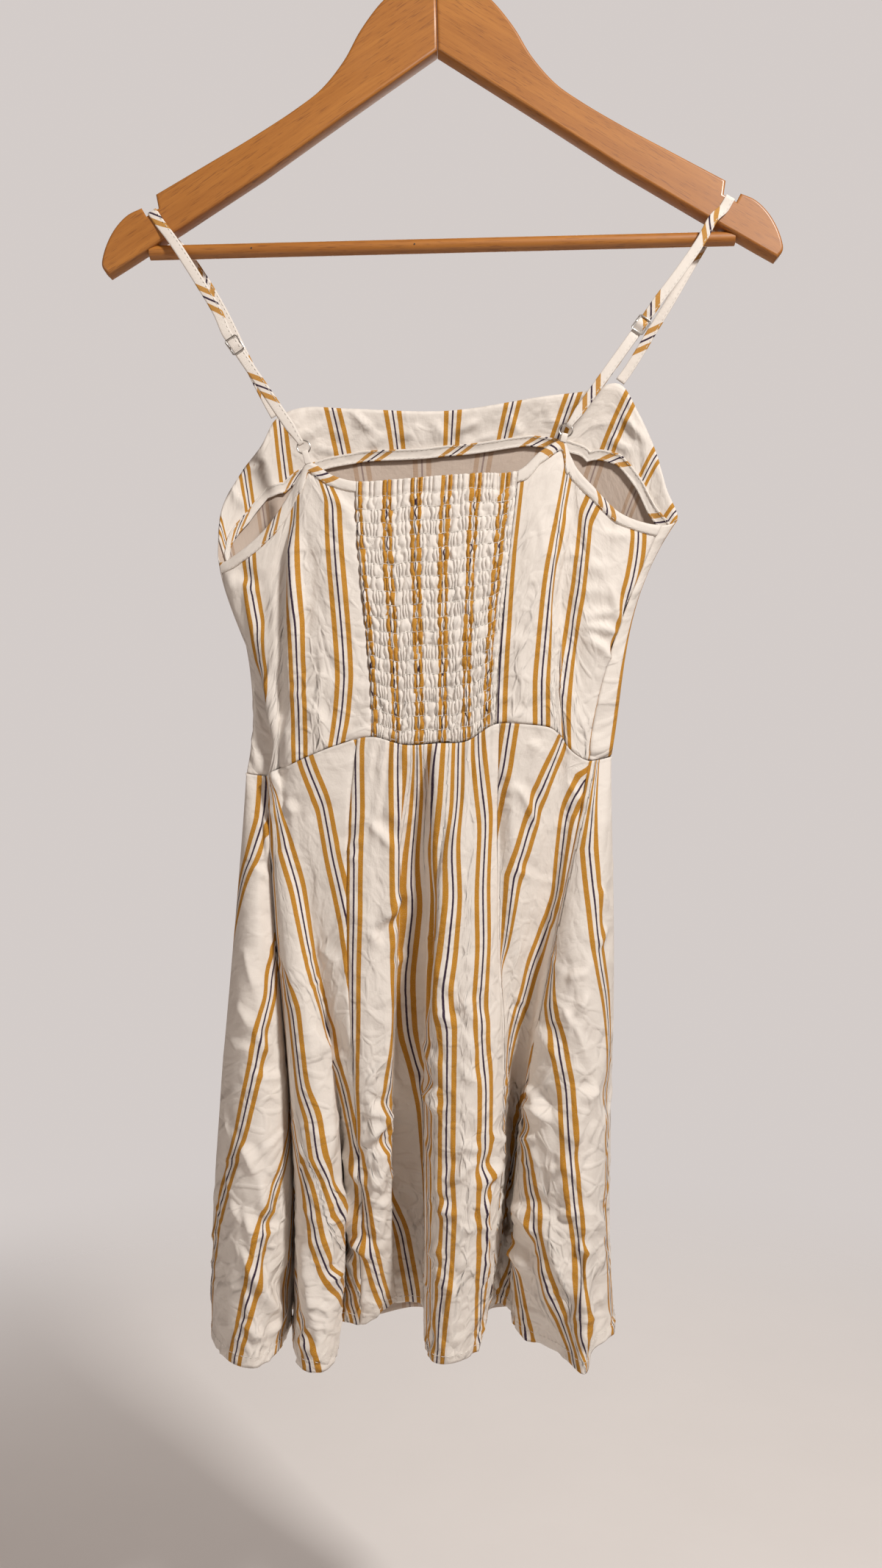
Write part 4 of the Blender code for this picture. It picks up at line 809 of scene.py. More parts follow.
class Cloth:
    """A grid of points on a surface, columns round the body and rows down it.

    top and bottom are shares down the surface, or functions of the columns' places.
    """

    def __init__(self, surface, start, end, top=0.0, bottom=1.0, cell=CELL, cell_down=None):
        s = even_columns(surface, start, end, cell)
        top = top(s) if callable(top) else np.full_like(s, top)
        bottom = bottom(s) if callable(bottom) else np.full_like(s, bottom)
        middle = len(s) // 2
        ends = surface(s[[middle, middle]], np.array([top[middle], bottom[middle]]))
        rows = max(3, math.ceil(np.linalg.norm(ends[1] - ends[0]) / (cell_down or cell))) + 1
        self.s = np.repeat(s[:, None], rows, 1)
        self.v = top[:, None] + (bottom - top)[:, None] * np.linspace(0.0, 1.0, rows)
        self.base = surface(self.s, self.v)
        normal = np.cross(np.gradient(self.base, axis=1), np.gradient(self.base, axis=0))
        self.normal = normal / np.maximum(np.linalg.norm(normal, axis=2, keepdims=True), TINY)
        self.lift = np.zeros(self.s.shape)
        self.across = self.run(0)
        self.down = self.run(1)
        self.up = self.down[:, -1:] - self.down

    def run(self, axis):
        """Length along the cloth from its first column or its first row."""
        steps = np.linalg.norm(np.diff(self.base, axis=axis), axis=2)
        pad = [(0, 0), (0, 0)]
        pad[axis] = (1, 0)
        return np.pad(np.cumsum(steps, axis=axis), pad)

    def points(self):
        return self.base + self.normal * self.lift[..., None]

    def seam(self, edges, depth=SEAM_DIP, width=SEAM_WIDTH):
        """Sink the cloth towards its seams: left, right, top or bottom."""
        far = {"left": self.across, "right": self.across[-1:, :] - self.across,
               "top": self.down, "bottom": self.up}
        for edge in edges.split():
            self.lift -= depth * (1 - smooth(0.0, width, far[edge]))

    def hem(self):
        """Double cloth turned up along the bottom."""
        self.lift += HEM_RISE * (1 - smooth(*HEM_FADE, self.up))

    def creases(self, table, side):
        """Ridges with a trough beside them, where the cloth faces the side, 1 or -1 along y.

        table rows: x z of both ends, height, width, and how far the middle bows if it does.
        """
        facing = smooth(*CREASE_FACING, self.normal[..., 1] * side)
        x, z = self.base[..., 0], self.base[..., 2]
        for x1, z1, x2, z2, height, width, *bow in table:
            dx, dz = x2 - x1, z2 - z1
            length = math.hypot(dx, dz)
            along = ((x - x1) * dx + (z - z1) * dz) / length
            off = ((x - x1) * -dz + (z - z1) * dx) / length
            t = along / length
            off = off - sum(bow) * 4 * t * (1 - t)
            taper = smooth(*CREASE_START, t) * (1 - smooth(*CREASE_END, t))
            self.lift += CREASE_HEIGHT * height * taper * facing * fold(off, width)

    def crumple(self, count, seed, height, top=0.0):
        """Short creases strewn over the cloth, most of them slanting, from top down."""
        chance = np.random.default_rng(seed)
        wide, high = self.across.max(), self.down.max()
        for _ in range(count):
            u = chance.uniform(0.0, wide)
            w = high * (top + (1 - top) * chance.uniform(0.0, 1.0) ** CRUMPLE_CROWDING)
            slant = chance.choice((-1, 1)) * math.radians(chance.uniform(*CRUMPLE_SLANT))
            length = chance.uniform(*CRUMPLE_LENGTH)
            width = chance.uniform(*CRUMPLE_WIDTH)
            tall = height * chance.uniform(*CRUMPLE_TALL)
            dx, dy = self.across - u, self.down - w
            along = dx * math.sin(slant) + dy * math.cos(slant)
            off = dx * math.cos(slant) - dy * math.sin(slant)
            off = off - chance.uniform(*CRUMPLE_BOW) * length * (along / length) ** 2 * 4
            taper = np.exp(-(along / (0.5 * length)) ** 4)
            self.lift += tall * taper * fold(off * chance.choice((-1, 1)), width)

    def rumple(self, height, size, seed, stretch, share=1.0):
        """Uneven soft wrinkles, or a share of them at each point."""
        self.lift += height * share * ridged(self.across / size, self.down / (size * stretch), seed)

    def roll(self, lift):
        """A binding that stands off by lift in its middle and rolls down to its edges."""
        self.lift += lift - BINDING_ROLL * np.abs(2 * self.down / self.down[:, -1:] - 1) ** 4


def fold(off, width):
    """A narrow ridge with a shallow trough on one side of it."""
    crest = CREST_ROUND * width
    ridge = np.exp(-(np.hypot(off, crest) - crest) / (CREST_FLANK * width))
    trough = np.exp(-((off - TROUGH_AT * width) / (TROUGH_WIDTH * width)) ** 2)
    return ridge - TROUGH_DEPTH * trough


def ridged(u, w, seed):
    """Crossing waves bent by one another, folded into ridges, about -1 to 1."""
    total = np.zeros_like(u)
    for k in range(WAVES):
        turn = seed * WAVE_TURNS[0] + k * WAVE_TURNS[1]
        bend = np.sin(u * (BEND_PITCH[0] + BEND_PITCH[1] * k) + w * BEND_PITCH[2] + turn)
        bend += np.sin(w * BEND_CROSSING[0] + u * BEND_CROSSING[1] + BEND_CROSSING[2] * turn)
        pitch = WAVE_PITCH[0] + WAVE_PITCH[1] * k
        wave = np.sin((u * math.cos(turn) + w * math.sin(turn)) * pitch + bend * BEND + turn)
        total += (1 - 2 * np.abs(wave)) / (1 + WAVE_FADE * k)
    return total / WAVE_SUM


# ------------------------------------------------------------------- stripes
# Each function gives the place of every point across the stripes, one of which
# has its middle at 0 and at each repeat from there.

def level_stripes(cloth, row, shift):
    """Stripes that keep to the cloth's columns as one row of it spaces them."""
    across = np.repeat(cloth.across[:, row:row + 1], cloth.s.shape[1], 1)
    middle = np.interp(LINE["neck_centre"], cloth.s[:, 0], cloth.across[:, row])
    return across - (middle + shift)


def bias(cloth, turn=1.0):
    """Stripes at 45 degrees to a binding's length."""
    return (cloth.across + turn * cloth.down) * math.sqrt(0.5)


def route_places(route, v):
    """Places at v along a route of (v, place) points, its corners rounded."""
    fine = np.linspace(*ROUTE_REACH, ROUTE_STEPS)
    places = np.interp(fine, [at[0] for at in route], [at[1] for at in route])
    window = np.hanning(ROUTE_ROUNDING)
    soft = np.convolve(np.pad(places, ROUTE_ROUNDING // 2, "edge"), window / window.sum(), "valid")
    return np.interp(v, fine, soft)


def routed_stripes(cloth, routes):
    """Stripes that follow routes, each with its number and its places down the cloth."""
    knots, values = [], []
    for number, route in routes:
        along, slant = route_on(cloth, route_places(route, cloth.v[0]))
        knots += [along - STRIPE_HALF * slant, along + STRIPE_HALF * slant]
        values += [number * REPEAT - STRIPE_HALF, number * REPEAT + STRIPE_HALF]
    knots = np.array(knots)
    made = np.zeros_like(cloth.across)
    for r in range(made.shape[1]):
        at = np.maximum.accumulate(knots[:, r] + np.arange(len(knots)) * KNOT_APART)
        a = cloth.across[:, r]
        made[:, r] = np.interp(a, at, values) + np.minimum(a - at[0], 0.0) + np.maximum(a - at[-1], 0.0)
    return made


def route_on(cloth, places):
    """A route's length across the cloth at each row, and how much its slant widens a stripe."""
    along = np.array([np.interp(place, cloth.s[:, r], cloth.across[:, r]) for r, place in enumerate(places)])
    outside = places - np.clip(places, cloth.s[0, 0], cloth.s[-1, 0])
    along = along + outside * (cloth.across[-1] / (cloth.s[-1, 0] - cloth.s[0, 0]))
    slope = np.gradient(along, cloth.down[len(cloth.s) // 2])
    return along, np.sqrt(1 + slope ** 2)


# ------------------------------------------------------------------- objects

def link(name, data, *materials):
    made = bpy.data.objects.new(name, data)
    for mat in materials:
        made.data.materials.append(mat)
    bpy.context.scene.collection.objects.link(made)
    return made


def stand_for(piece, *nodes):
    """The piece takes the place of CAD nodes and moves with the one body."""
    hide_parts(*nodes)
    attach(piece, "root")
    return piece


def smooth_mesh(name, points, faces, cut=None):
    """A smooth mesh, with its points' places in the cut of the cloth as UVs."""
    mesh = bpy.data.meshes.new(name)
    mesh.from_pydata((np.array(points) * MM).tolist(), [], faces)
    if cut is not None:
        corners = np.concatenate([np.array(face) for face in faces])
        places = (np.array(cut) * MM)[corners].astype(np.float32)
        mesh.uv_layers.new(name="cut").data.foreach_set("uv", places.reshape(-1))
    mesh.shade_smooth()
    return mesh


def panel(name, cloth, stripes, right_side, wrong_side, thick=CLOTH, facing=1):
    """A shell of cloth, its right side outwards, or inwards where facing is -1."""
    index = np.arange(stripes.size).reshape(stripes.shape)
    faces = np.stack([index[:-1, :-1], index[:-1, 1:], index[1:, 1:], index[1:, :-1]], -1).reshape(-1, 4)
    cut = np.stack([stripes, cloth.down], -1).reshape(-1, 2)
    mesh = smooth_mesh(name, cloth.points().reshape(-1, 3), faces.tolist(), cut)
    outer, inner = (right_side, wrong_side) if facing > 0 else (wrong_side, right_side)
    made = link(name, mesh, outer, inner)
    shell = made.modifiers.new("cloth", "SOLIDIFY")
    shell.thickness = thick * MM
    shell.offset = 0.0
    shell.material_offset = 1
    shell.use_even_offset = False
    return made


def spot(cloth, column, row):
    """The lifted point and the normal at a fractional column and row."""
    columns, rows = cloth.s.shape
    i, j = min(int(column), columns - 2), min(int(row), rows - 2)
    a, b = min(max(column - i, 0.0), 1.0), min(max(row - j, 0.0), 1.0)
    corners = ((i, j, (1 - a) * (1 - b)), (i + 1, j, a * (1 - b)),
               (i, j + 1, (1 - a) * b), (i + 1, j + 1, a * b))
    at = sum((cloth.base[c, r] + cloth.normal[c, r] * cloth.lift[c, r]) * w for c, r, w in corners)
    return at, sum(cloth.normal[c, r] * w for c, r, w in corners)


# A stitch is a square tube on three rings of corners
STITCH_FACES = [(ring + k, ring + (k + 1) % 4, ring + 4 + (k + 1) % 4, ring + 4 + k)
                for ring in (0, 4) for k in range(4)] + [(0, 1, 2, 3), (11, 10, 9, 8)]


def stitch_corners(places, radius, proud):
    """Corners of a stitch through three (point, way up) places, none if it has no length."""
    middles = [at + up * height for (at, up), height in zip(places, proud)]
    along = middles[2] - middles[0]
    side = np.cross(along, places[1][1])
    if np.linalg.norm(side) < TINY:
        return []
    side /= np.linalg.norm(side)
    up = np.cross(side, along / np.linalg.norm(along))
    ring = (side * radius, up * radius, -side * radius, -up * radius)
    return [at + corner for at in middles for corner in ring]


def stitches(name, placed, proud=STITCH_PROUD):
    """Short threads, each through three (point, way up) places."""
    verts, faces = [], []
    for places in placed:
        corners = stitch_corners(places, STITCH_RADIUS, proud)
        if corners:
            faces += [[len(verts) + k for k in face] for face in STITCH_FACES]
            verts += corners
    made = link(name, smooth_mesh(name, verts, faces), THREAD)
    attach(made, "root")
    return made


def on_cloth(cloth, routes, thick=CLOTH, side=1):
    """The (point, way up) places of (column, row) routes on one face of the cloth."""
    placed = []
    for route in routes:
        spots = [spot(cloth, *at) for at in route]
        placed.append([(at + normal * side * thick / 2, normal * side) for at, normal in spots])
    return placed


def seam_routes(cloth, row):
    """Stitches one after another along a row of the cloth."""
    run = lengths(cloth.points()[:, row])
    routes = []
    for start in np.arange(STITCH_START, run[-1] - STITCH, STITCH):
        at = np.interp(start + STITCH * np.array(STITCH_SPAN), run, np.arange(len(run)))
        routes.append([(column, row) for column in at])
    return routes


# ----------------------------------------------------------------- materials

class Nodes:
    """Short names for building a material's nodes."""

    def __init__(self, name):
        self.material = bpy.data.materials.new(name)
        self.material.use_nodes = True
        self.tree = self.material.node_tree

    def give(self, socket, value):
        """Set a socket, or link it where the value comes from another node."""
        if isinstance(value, bpy.types.NodeSocket):
            self.tree.links.new(value, socket)
        else:
            socket.default_value = value

    def add(self, kind, inputs, **settings):
        node = self.tree.nodes.new("ShaderNode" + kind)
        for key, value in settings.items():
            setattr(node, key, value)
        for key, value in inputs.items():
            self.give(node.inputs[key], value)
        return node

    def object_place(self):
        return self.add("TexCoord", {}).outputs["Object"]

    def maths(self, operation, a, b=0.0):
        return self.add("Math", {0: a, 1: b}, operation=operation).outputs[0]

    def times(self, a, b):
        return self.maths("MULTIPLY", a, b)

    def mix(self, factor, a, b):
        return self.add("Mix", {0: factor, 6: a, 7: b}, data_type="RGBA").outputs[2]

    def noise(self, vector, scale, detail, rough):
        if isinstance(scale, tuple):
            vector = self.add("Mapping", {"Vector": vector, "Scale": scale}).outputs[0]
            scale = 1.0
        inputs = {"Vector": vector, "Scale": scale, "Detail": detail, "Roughness": rough}
        return self.add("TexNoise", inputs).outputs["Fac"]

    def spread(self, value, low, high, start=0.0, end=1.0, kind="LINEAR"):
        """Start where value is low, end where it is high, and between them between."""
        inputs = {"Value": value, 1: low, 2: high, 3: start, 4: end}
        return self.add("MapRange", inputs, interpolation_type=kind).outputs[0]

    def between(self, value, low, high, soft):
        """1 where value lies between low and high, with soft edges."""
        rise = self.spread(value, low - soft, low + soft)
        return self.times(rise, self.spread(value, high - soft, high + soft, 1.0, 0.0))

    def bump(self, height, strength, distance, below=None):
        inputs = {"Height": height, "Strength": strength, "Distance": distance}
        if below is not None:
            inputs["Normal"] = below
        return self.add("Bump", inputs).outputs[0]

    def finish(self, **values):
        """Give the shader its values and hand over the material."""
        shader = self.tree.nodes["Principled BSDF"]
        for key, value in values.items():
            self.give(shader.inputs[key.replace("_", " ")], value)
        return self.material


def shaded(colour, share):
    """The colour with a share of its brightness."""
    return [channel * share for channel in colour[:3]] + [1.0]


def stripe_shares(n, place, across):
    """How much of the fine line and of the two broad bands is at each place."""
    ragged = n.times(n.maths("SUBTRACT", n.noise(place, *RAGGED), 0.5), RAGGED_BY)
    repeats = n.maths("DIVIDE", n.maths("ADD", across, ragged), REPEAT * MM)
    share = n.maths("FRACT", n.maths("ADD", repeats, 0.5))
    off = n.times(n.maths("ABSOLUTE", n.maths("SUBTRACT", share, 0.5)), REPEAT)
    return n.between(off, LINE_FROM, LINE_HALF, STRIPE_EDGE), n.between(off, BAND_FROM, BAND_TO, STRIPE_EDGE)


def striped_cloth(name, ground, band, line, strength, wrinkled=1.0, crushed=None):
    """Woven viscose: groups of two broad bands round a fine line.

    crushed gives how far down the cloth its small sharp creases start and are full,
    and their share above.
    """
    n = Nodes(name)
    place = n.add("UVMap", {}, uv_map="cut").outputs[0]
    split = n.add("SeparateXYZ", {0: place})
    fine, broad = stripe_shares(n, place, split.outputs[0])
    threads = n.noise(place, *THREADS)
    slub = n.noise(place, *SLUB)
    pale = n.mix(n.noise(place, *CLOUDY), ground, shaded(ground, CLOUD_SHADE))
    pale = n.mix(n.times(slub, SLUB_SHARE), pale, SLUB_CREAM)
    fleck = n.times(n.spread(threads, *FLECK_RANGE), FLECK_SHARE)
    coloured = n.mix(n.times(broad, strength), pale, n.mix(fleck, band, ground))
    inked = n.mix(n.times(fleck, LINE_FLECK), line, ground)
    coloured = n.mix(n.times(fine, min(1.0, strength + LINE_DARKER)), coloured, inked)
    weave = n.maths("ADD", n.maths("ADD", slub, n.noise(place, *WEFT)), n.times(threads, THREAD_SHARE))
    deep, distance = WRINKLE_BUMP
    woven = n.bump(weave, *WEAVE_BUMP)
    surface = n.bump(n.noise(place, *SOFT_WRINKLES), deep * wrinkled, distance, woven)
    if crushed:
        surface = crush(n, place, split.outputs[1], crushed, surface)
    return n.finish(Base_Color=coloured, Normal=surface, **CLOTH_FINISH)


def crush(n, place, down, reach, below):
    """Small sharp creases, in two sizes, deeper towards the bottom of the cloth."""
    start, full, above = reach
    low = n.spread(down, start, full, above, 1.0, "SMOOTHSTEP")
    scale, detail, rough = CRUSH_BENT
    bent = n.add("TexNoise", {"Vector": place, "Scale": scale, "Detail": detail, "Roughness": rough})
    moved = n.add("VectorMath", {0: bent.outputs["Color"], 1: CRUSH_BENT_BY, 2: place},
                  operation="MULTIPLY_ADD").outputs[0]
    size, detail, rough = CRUSH_PATCHES
    for scale, deep in CRUSH_SIZES:
        edges = n.add("TexVoronoi", {"Vector": moved, "Scale": scale}, feature="DISTANCE_TO_EDGE")
        patches = n.noise(moved, scale * size, detail, rough)
        ridge = n.spread(edges.outputs["Distance"], 0.0, CRUSH_RIDGE, 1.0, 0.0, "SMOOTHERSTEP")
        below = n.bump(n.times(n.times(ridge, patches), low), 1.0, deep, below)
    return below


def varnished_wood(name, lean):
    """Orange beech, its grain running at lean from the horizontal."""
    n = Nodes(name)
    place = n.object_place()
    turned = n.add("Mapping", {"Vector": place, "Rotation": (0.0, lean, 0.0)}).outputs[0]
    streak = n.spread(n.noise(turned, *GRAIN_STREAK), *STREAK_RANGE)
    pores = n.spread(n.noise(turned, *GRAIN_PORES), *PORE_RANGE)
    fine = n.noise(turned, *GRAIN_FINE)
    tone = n.mix(n.noise(turned, *GRAIN_WANDER), WOOD_DARK, WOOD_LIGHT)
    tone = n.mix(n.times(streak, STREAK_SHARE), tone, WOOD_DARK)
    tone = n.mix(n.times(fine, FINE_SHARE), tone, WOOD_LIGHT)
    tone = n.mix(n.times(pores, PORE_SHARE), tone, WOOD_PORE)
    grain = n.bump(n.maths("ADD", fine, n.times(pores, PORE_DEPTH)), *GRAIN_BUMP)
    rough = n.spread(n.noise(place, *VARNISH), 0.0, 1.0, *VARNISH_ROUGH)
    return n.finish(Base_Color=tone, Roughness=rough, Normal=grain, **VARNISH_COAT)


def plated_metal(name, tone):
    n = Nodes(name)
    worn = n.noise(n.object_place(), *WORN)
    return n.finish(Base_Color=n.mix(worn, tone, PLATED_WORN), Metallic=1.0,
                    Roughness=n.spread(worn, 0.0, 1.0, *METAL_ROUGH), Normal=n.bump(worn, *METAL_BUMP))


def sewing_thread(name, colour):
    n = Nodes(name)
    ply = n.noise(n.object_place(), *PLY)
    return n.finish(Base_Color=n.mix(ply, colour, shaded(colour, THREAD_SHADE)), Roughness=THREAD_ROUGH,
                    Normal=n.bump(ply, *THREAD_BUMP))


def pale_floor(name):
    """A floor that fades out some way from its middle."""
    n = Nodes(name)
    place = n.object_place()
    reach = n.add("VectorMath", {0: place}, operation="LENGTH").outputs["Value"]
    return n.finish(Base_Color=n.mix(n.noise(place, *SPECK), FLOOR_PALE, FLOOR_SPECK), Roughness=FLOOR_ROUGH,
                    Alpha=n.spread(reach, *FLOOR_FADE, 1.0, 0.0, "SMOOTHSTEP"))


RIGHT_SIDE = striped_cloth("striped_viscose", CREAM, MUSTARD, PLUM, 1.0, crushed=RIGHT_SIDE_CRUSH)
SKIRT_SIDE = striped_cloth("striped_viscose_skirt", CREAM, MUSTARD, PLUM, 1.0, crushed=SKIRT_CRUSH)
# The wrong side's darker colours hold painted shade as well as its fading
WRONG_SIDE_SHADED = striped_cloth("striped_viscose_wrong_side_shaded", WRONG_CREAM_SHADED, WRONG_TAN_SHADED, WRONG_PLUM_SHADED, 0.6)
BOUND = striped_cloth("striped_bias_binding", CREAM, MUSTARD, PLUM, 0.95, wrinkled=0.5)
METAL = plated_metal("plated_metal", PLATED)
PIN_METAL = plated_metal("dark_pin", PLATED_DARK)
THREAD = sewing_thread("sewing_thread", SEWN)


# ------------------------------------------------------------- bodice pieces

def line_length(s):
    """Length of each line s from the top edge to the waist."""
    return np.linalg.norm(bodice(s, np.ones_like(s)) - bodice(s, np.zeros_like(s)), axis=1)


def slanted_width(s):
    """Share down line s that a binding along the slanting top edge covers."""
    along = bodice(s + NEARBY, np.zeros_like(s)) - bodice(s - NEARBY, np.zeros_like(s))
    down = bodice(s, np.full_like(s, NEARBY)) - bodice(s, np.zeros_like(s))
    along /= np.linalg.norm(along, axis=1, keepdims=True)
    down /= np.linalg.norm(down, axis=1, keepdims=True)
    slant = np.maximum(SLANT_LEAST, np.linalg.norm(np.cross(along, down), axis=1))
    return BINDING_WIDTH / slant / line_length(s)


def facing_depth(s, past=0.0):
    """Share down line s that the facing covers, or a length past it."""
    lines = [LINE[name] for name, _ in FACING_DEPTHS]
    depths = np.interp(s, lines, [depth for _, depth in FACING_DEPTHS])
    return (depths + past) / line_length(s)


def make_front():
    front = Cloth(bodice, LINE["side_right"], LINE_COUNT, cell=COARSE_CELL)
    front.creases(FRONT_CREASES, 1)
    front.crumple(*CRUMPLE["front_bodice"])
    front.lift *= smooth(*FRONT_LIFT_FADE, front.down)
    front.seam("left right bottom")
    stripes = level_stripes(front, *FRONT_STRIPES_AT)
    made = panel("front_bodice_cloth", front, stripes, RIGHT_SIDE, WRONG_SIDE_SHADED)
    stand_for(made, "front_bodice")


def make_facing():
    facing = Cloth(bodice, LINE["under_right"], LINE["under_left"], 0.0, facing_depth)
    facing.creases(FACING_CREASES, 1)
    facing.crumple(*CRUMPLE["front_facing"])
    start, end = FACING_HELD
    free = smooth(0.0, start, facing.down) * smooth(start, end, facing.up)
    inward = np.maximum(facing.lift, FACING_OUTWARD) * free
    facing.lift = FACING_LIFT * smooth(*FACING_TURN, facing.down) - inward
    stripes = level_stripes(facing, *FACING_STRIPES_AT)
    made = panel("front_facing_cloth", facing, stripes, RIGHT_SIDE, WRONG_SIDE_SHADED, facing=-1)
    stand_for(made, "front_facing")
    make_facing_binding()


def make_facing_binding():
    bound = Cloth(bodice, LINE["under_right"], LINE["under_left"], lambda s: facing_depth(s, -BINDING_WIDTH),
                  lambda s: facing_depth(s, FACING_BINDING_PAST), cell=BINDING_CELL)
    bound.roll(FACING_BINDING_LIFT)
    bound.rumple(*FACING_BINDING_RUMPLE)
    made = panel("facing_binding_cloth", bound, bias(bound, -1.0) - FACING_BINDING_AT, BOUND, BOUND,
                 BINDING_CLOTH, facing=-1)
    sewn = on_cloth(bound, seam_routes(bound, 1) + seam_routes(bound, -2), BINDING_CLOTH, -1)
    stitches("facing_binding_stitches", sewn)
    return stand_for(made, "facing_binding")


def make_back_panel(side, start, end):
    name = "back_panel_" + side
    cloth = Cloth(bodice, start, end)
    cloth.creases(BACK_CREASES, -1)
    cloth.crumple(*CRUMPLE[name])
    cloth.lift *= smooth(*BACK_LIFT_FADE, cloth.down)
    cloth.seam("left right bottom")
    made = panel(name + "_cloth", cloth, routed_stripes(cloth, BACK_STRIPES[side]), RIGHT_SIDE, WRONG_SIDE_SHADED)
    stand_for(made, name)
    make_back_binding(side, start, end)


def make_back_binding(side, start, end):
    name = "back_binding_" + side
    strip = Cloth(bodice, start, end, 0.0, slanted_width, cell=BINDING_CELL)
    strip.roll(BINDING_LIFT)
    strip.rumple(*BACK_BINDING_RUMPLE)
    stripes = bias(strip, 1.0 if side == "left" else -1.0) + BINDING_AT[side]
    made = panel(name + "_cloth", strip, stripes, BOUND, BOUND, BINDING_CLOTH)
    stitches(name + "_stitches", on_cloth(strip, seam_routes(strip, -2), BINDING_CLOTH))
    return stand_for(made, name)


# ------------------------------------------------------------------ smocking

def make_smocking():
    """Cloth with short gathers that every row of elastic sets anew, a puff
    between the rows, and a ruffle above them."""
    cell, cell_down = SMOCK_CELL
    cloth = Cloth(bodice, LINE["smock_left"], LINE["smock_right"], cell=cell, cell_down=cell_down)
    share = cloth.across / cloth.across[-1:, :]
    below = cloth.down - SMOCK_HEADER
    for height, turns, start in ROW_WAVES:
        below = below + height * np.sin(share * turns + start)
    rows_down = below / ((cloth.down[:, -1:] - SMOCK_HEADER) / (SMOCK_ROWS - 1))
    row = np.clip(np.floor(rows_down), 0, SMOCK_ROWS - 1)
    inside = np.clip(rows_down - row, 0.0, 1.0)
    lead = drawn_aside(share, row, inside)
    phase = share * SMOCK_GATHERS + lead
    cloth.lift += smocked(cloth, row.astype(int), inside, phase, below)
    cloth.seam("left right bottom", *SMOCK_SEAM)
    stripes = smocked_stripes(phase, lead)
    made = panel("smocked_panel_cloth", cloth, stripes, RIGHT_SIDE, WRONG_SIDE_SHADED, SMOCK_CLOTH)
    stand_for(made, "smocked_panel")
    elastic_stitches(cloth, phase, rows_down)


def drawn_aside(share, row, inside):
    """How far, in gathers, each gather is drawn aside by its row and between rows."""
    lead = sum(height * np.sin(share * turns + row * step) for height, turns, step in DRAWN)
    height, turns, step = GATHER_LEAN
    lead = lead + height * (inside - 0.5) * np.sin(share * turns + row * step)
    height, turns = GATHER_WANDER
    return lead + height * np.sin(2 * math.pi * inside + share * turns + row)


def smocked(cloth, row, inside, phase, below):
    """Height of the gathers and their puffs, and of the ruffle above the first row."""
    shape = (SMOCK_ROWS, SMOCK_GATHERS + 2 * SMOCK_SPARE)
    heights = np.random.default_rng(SMOCK_SEED).uniform(*SMOCK_UNEVEN, shape)
    uneven = heights[row, np.floor(phase).astype(int) + SMOCK_SPARE]
    ridge = np.abs(np.sin(math.pi * phase)) ** SMOCK_ROUND
    puff = np.sin(math.pi * inside) ** SMOCK_ROUND
    gathered = (SMOCK_FLOOR + SMOCK_RISE * ridge) * (SMOCK_TIED + (1 - SMOCK_TIED) * puff * uneven)
    ruffle = RUFFLE_FLOOR + RUFFLE_RISE * ridge * smooth(*RUFFLE_EDGE, cloth.down)
    tied, free = RUFFLE_TIED
    ruffle = ruffle * (tied + (1 - tied) * smooth(0.0, free, -below))
    return np.where(below > 0, gathered + PUFF_RISE * puff, ruffle)


def smocked_stripes(phase, lead):
    """The stripes as they show: a gather folds away most of its cloth."""
    middle = np.floor(phase) + 0.5
    cut = SMOCK_STRIPES * REPEAT * ((middle - lead) / SMOCK_GATHERS - SMOCK_STRIPE_AT)
    cut = cut + SMOCK_SHOWN * (phase - middle)
    nearest = np.round(cut / REPEAT) * REPEAT
    return nearest + np.sign(cut - nearest) * np.interp(np.abs(cut - nearest), *SMOCK_BUNCHED)


def elastic_stitches(cloth, phase, rows_down):
    """One stitch over each gather, along every row of elastic."""
    routes = []
    columns, depths = cloth.s.shape
    for number in range(SMOCK_ROWS):
        row = np.array([np.interp(number, rows_down[c], np.arange(depths)) for c in range(columns)])
        here = phase[np.arange(columns), np.minimum(row.astype(int), depths - 3)]
        here = np.maximum.accumulate(here)
        for gather in range(math.ceil(here.min()), math.floor(here.max())):
            at = np.interp([gather + share for share in ELASTIC_SPAN], here, np.arange(columns))
            routes.append([(column, min(row[int(column)], depths - 3)) for column in at])
    sewn = on_cloth(cloth, routes, SMOCK_CLOTH)
    return stitches("smocking_stitches", sewn, ELASTIC_PROUD)


# --------------------------------------------------------------------- skirt

def make_skirt():
    start = 0
    for name, folds, _, _ in SKIRT_PANELS:
        cell = COARSE_CELL if name == "skirt_front_centre" else FINE_CELL
        make_skirt_panel(name, Cloth(skirt, start, start + len(folds), cell=cell))
        start += len(folds)


def make_skirt_panel(name, cloth):
    seed, width, length, area, sewn_to = SKIRT_PIECES[name]
    centre_back = name == "skirt_back_centre"
    if centre_back:
        pleat(cloth)
    wrinkle(cloth, seed)
    if name != "skirt_front_centre":
        cloth.creases(SKIRT_CREASES, -1)
    if name.startswith("skirt_front"):
        cloth.creases(FRONT_SKIRT_CREASES, 1)
    cloth.hem()
    cloth.seam("left right")
    cloth.seam("top", WAIST_DIP, WAIST_WIDTH)
    made = panel(name + "_cloth", cloth, routed_stripes(cloth, SKIRT_STRIPES[name]), SKIRT_SIDE, WRONG_SIDE_SHADED)
    stand_for(made, name)
    row = int(np.argmin(np.abs(cloth.up[len(cloth.s) // 2] - HEM_SEWN)))
    stitches(name + "_hem_stitches", on_cloth(cloth, seam_routes(cloth, row)))


def wrinkle(cloth, seed):
    """Soft wrinkles and small creases, most of them low on the skirt."""
    height, size, stretch = SKIRT_RUMPLE
    low = smooth(*SKIRT_RUMPLE_FROM, cloth.down)
    cloth.rumple(height, size, seed, stretch, SKIRT_RUMPLE_TOP + (1 - SKIRT_RUMPLE_TOP) * low)
    count, height, top = SKIRT_CRUMPLE_LOW
    cloth.crumple(count, seed, height, top)
    count, height = SKIRT_CRUMPLE
    cloth.crumple(count, seed + SKIRT_CRUMPLE_SEED, height)


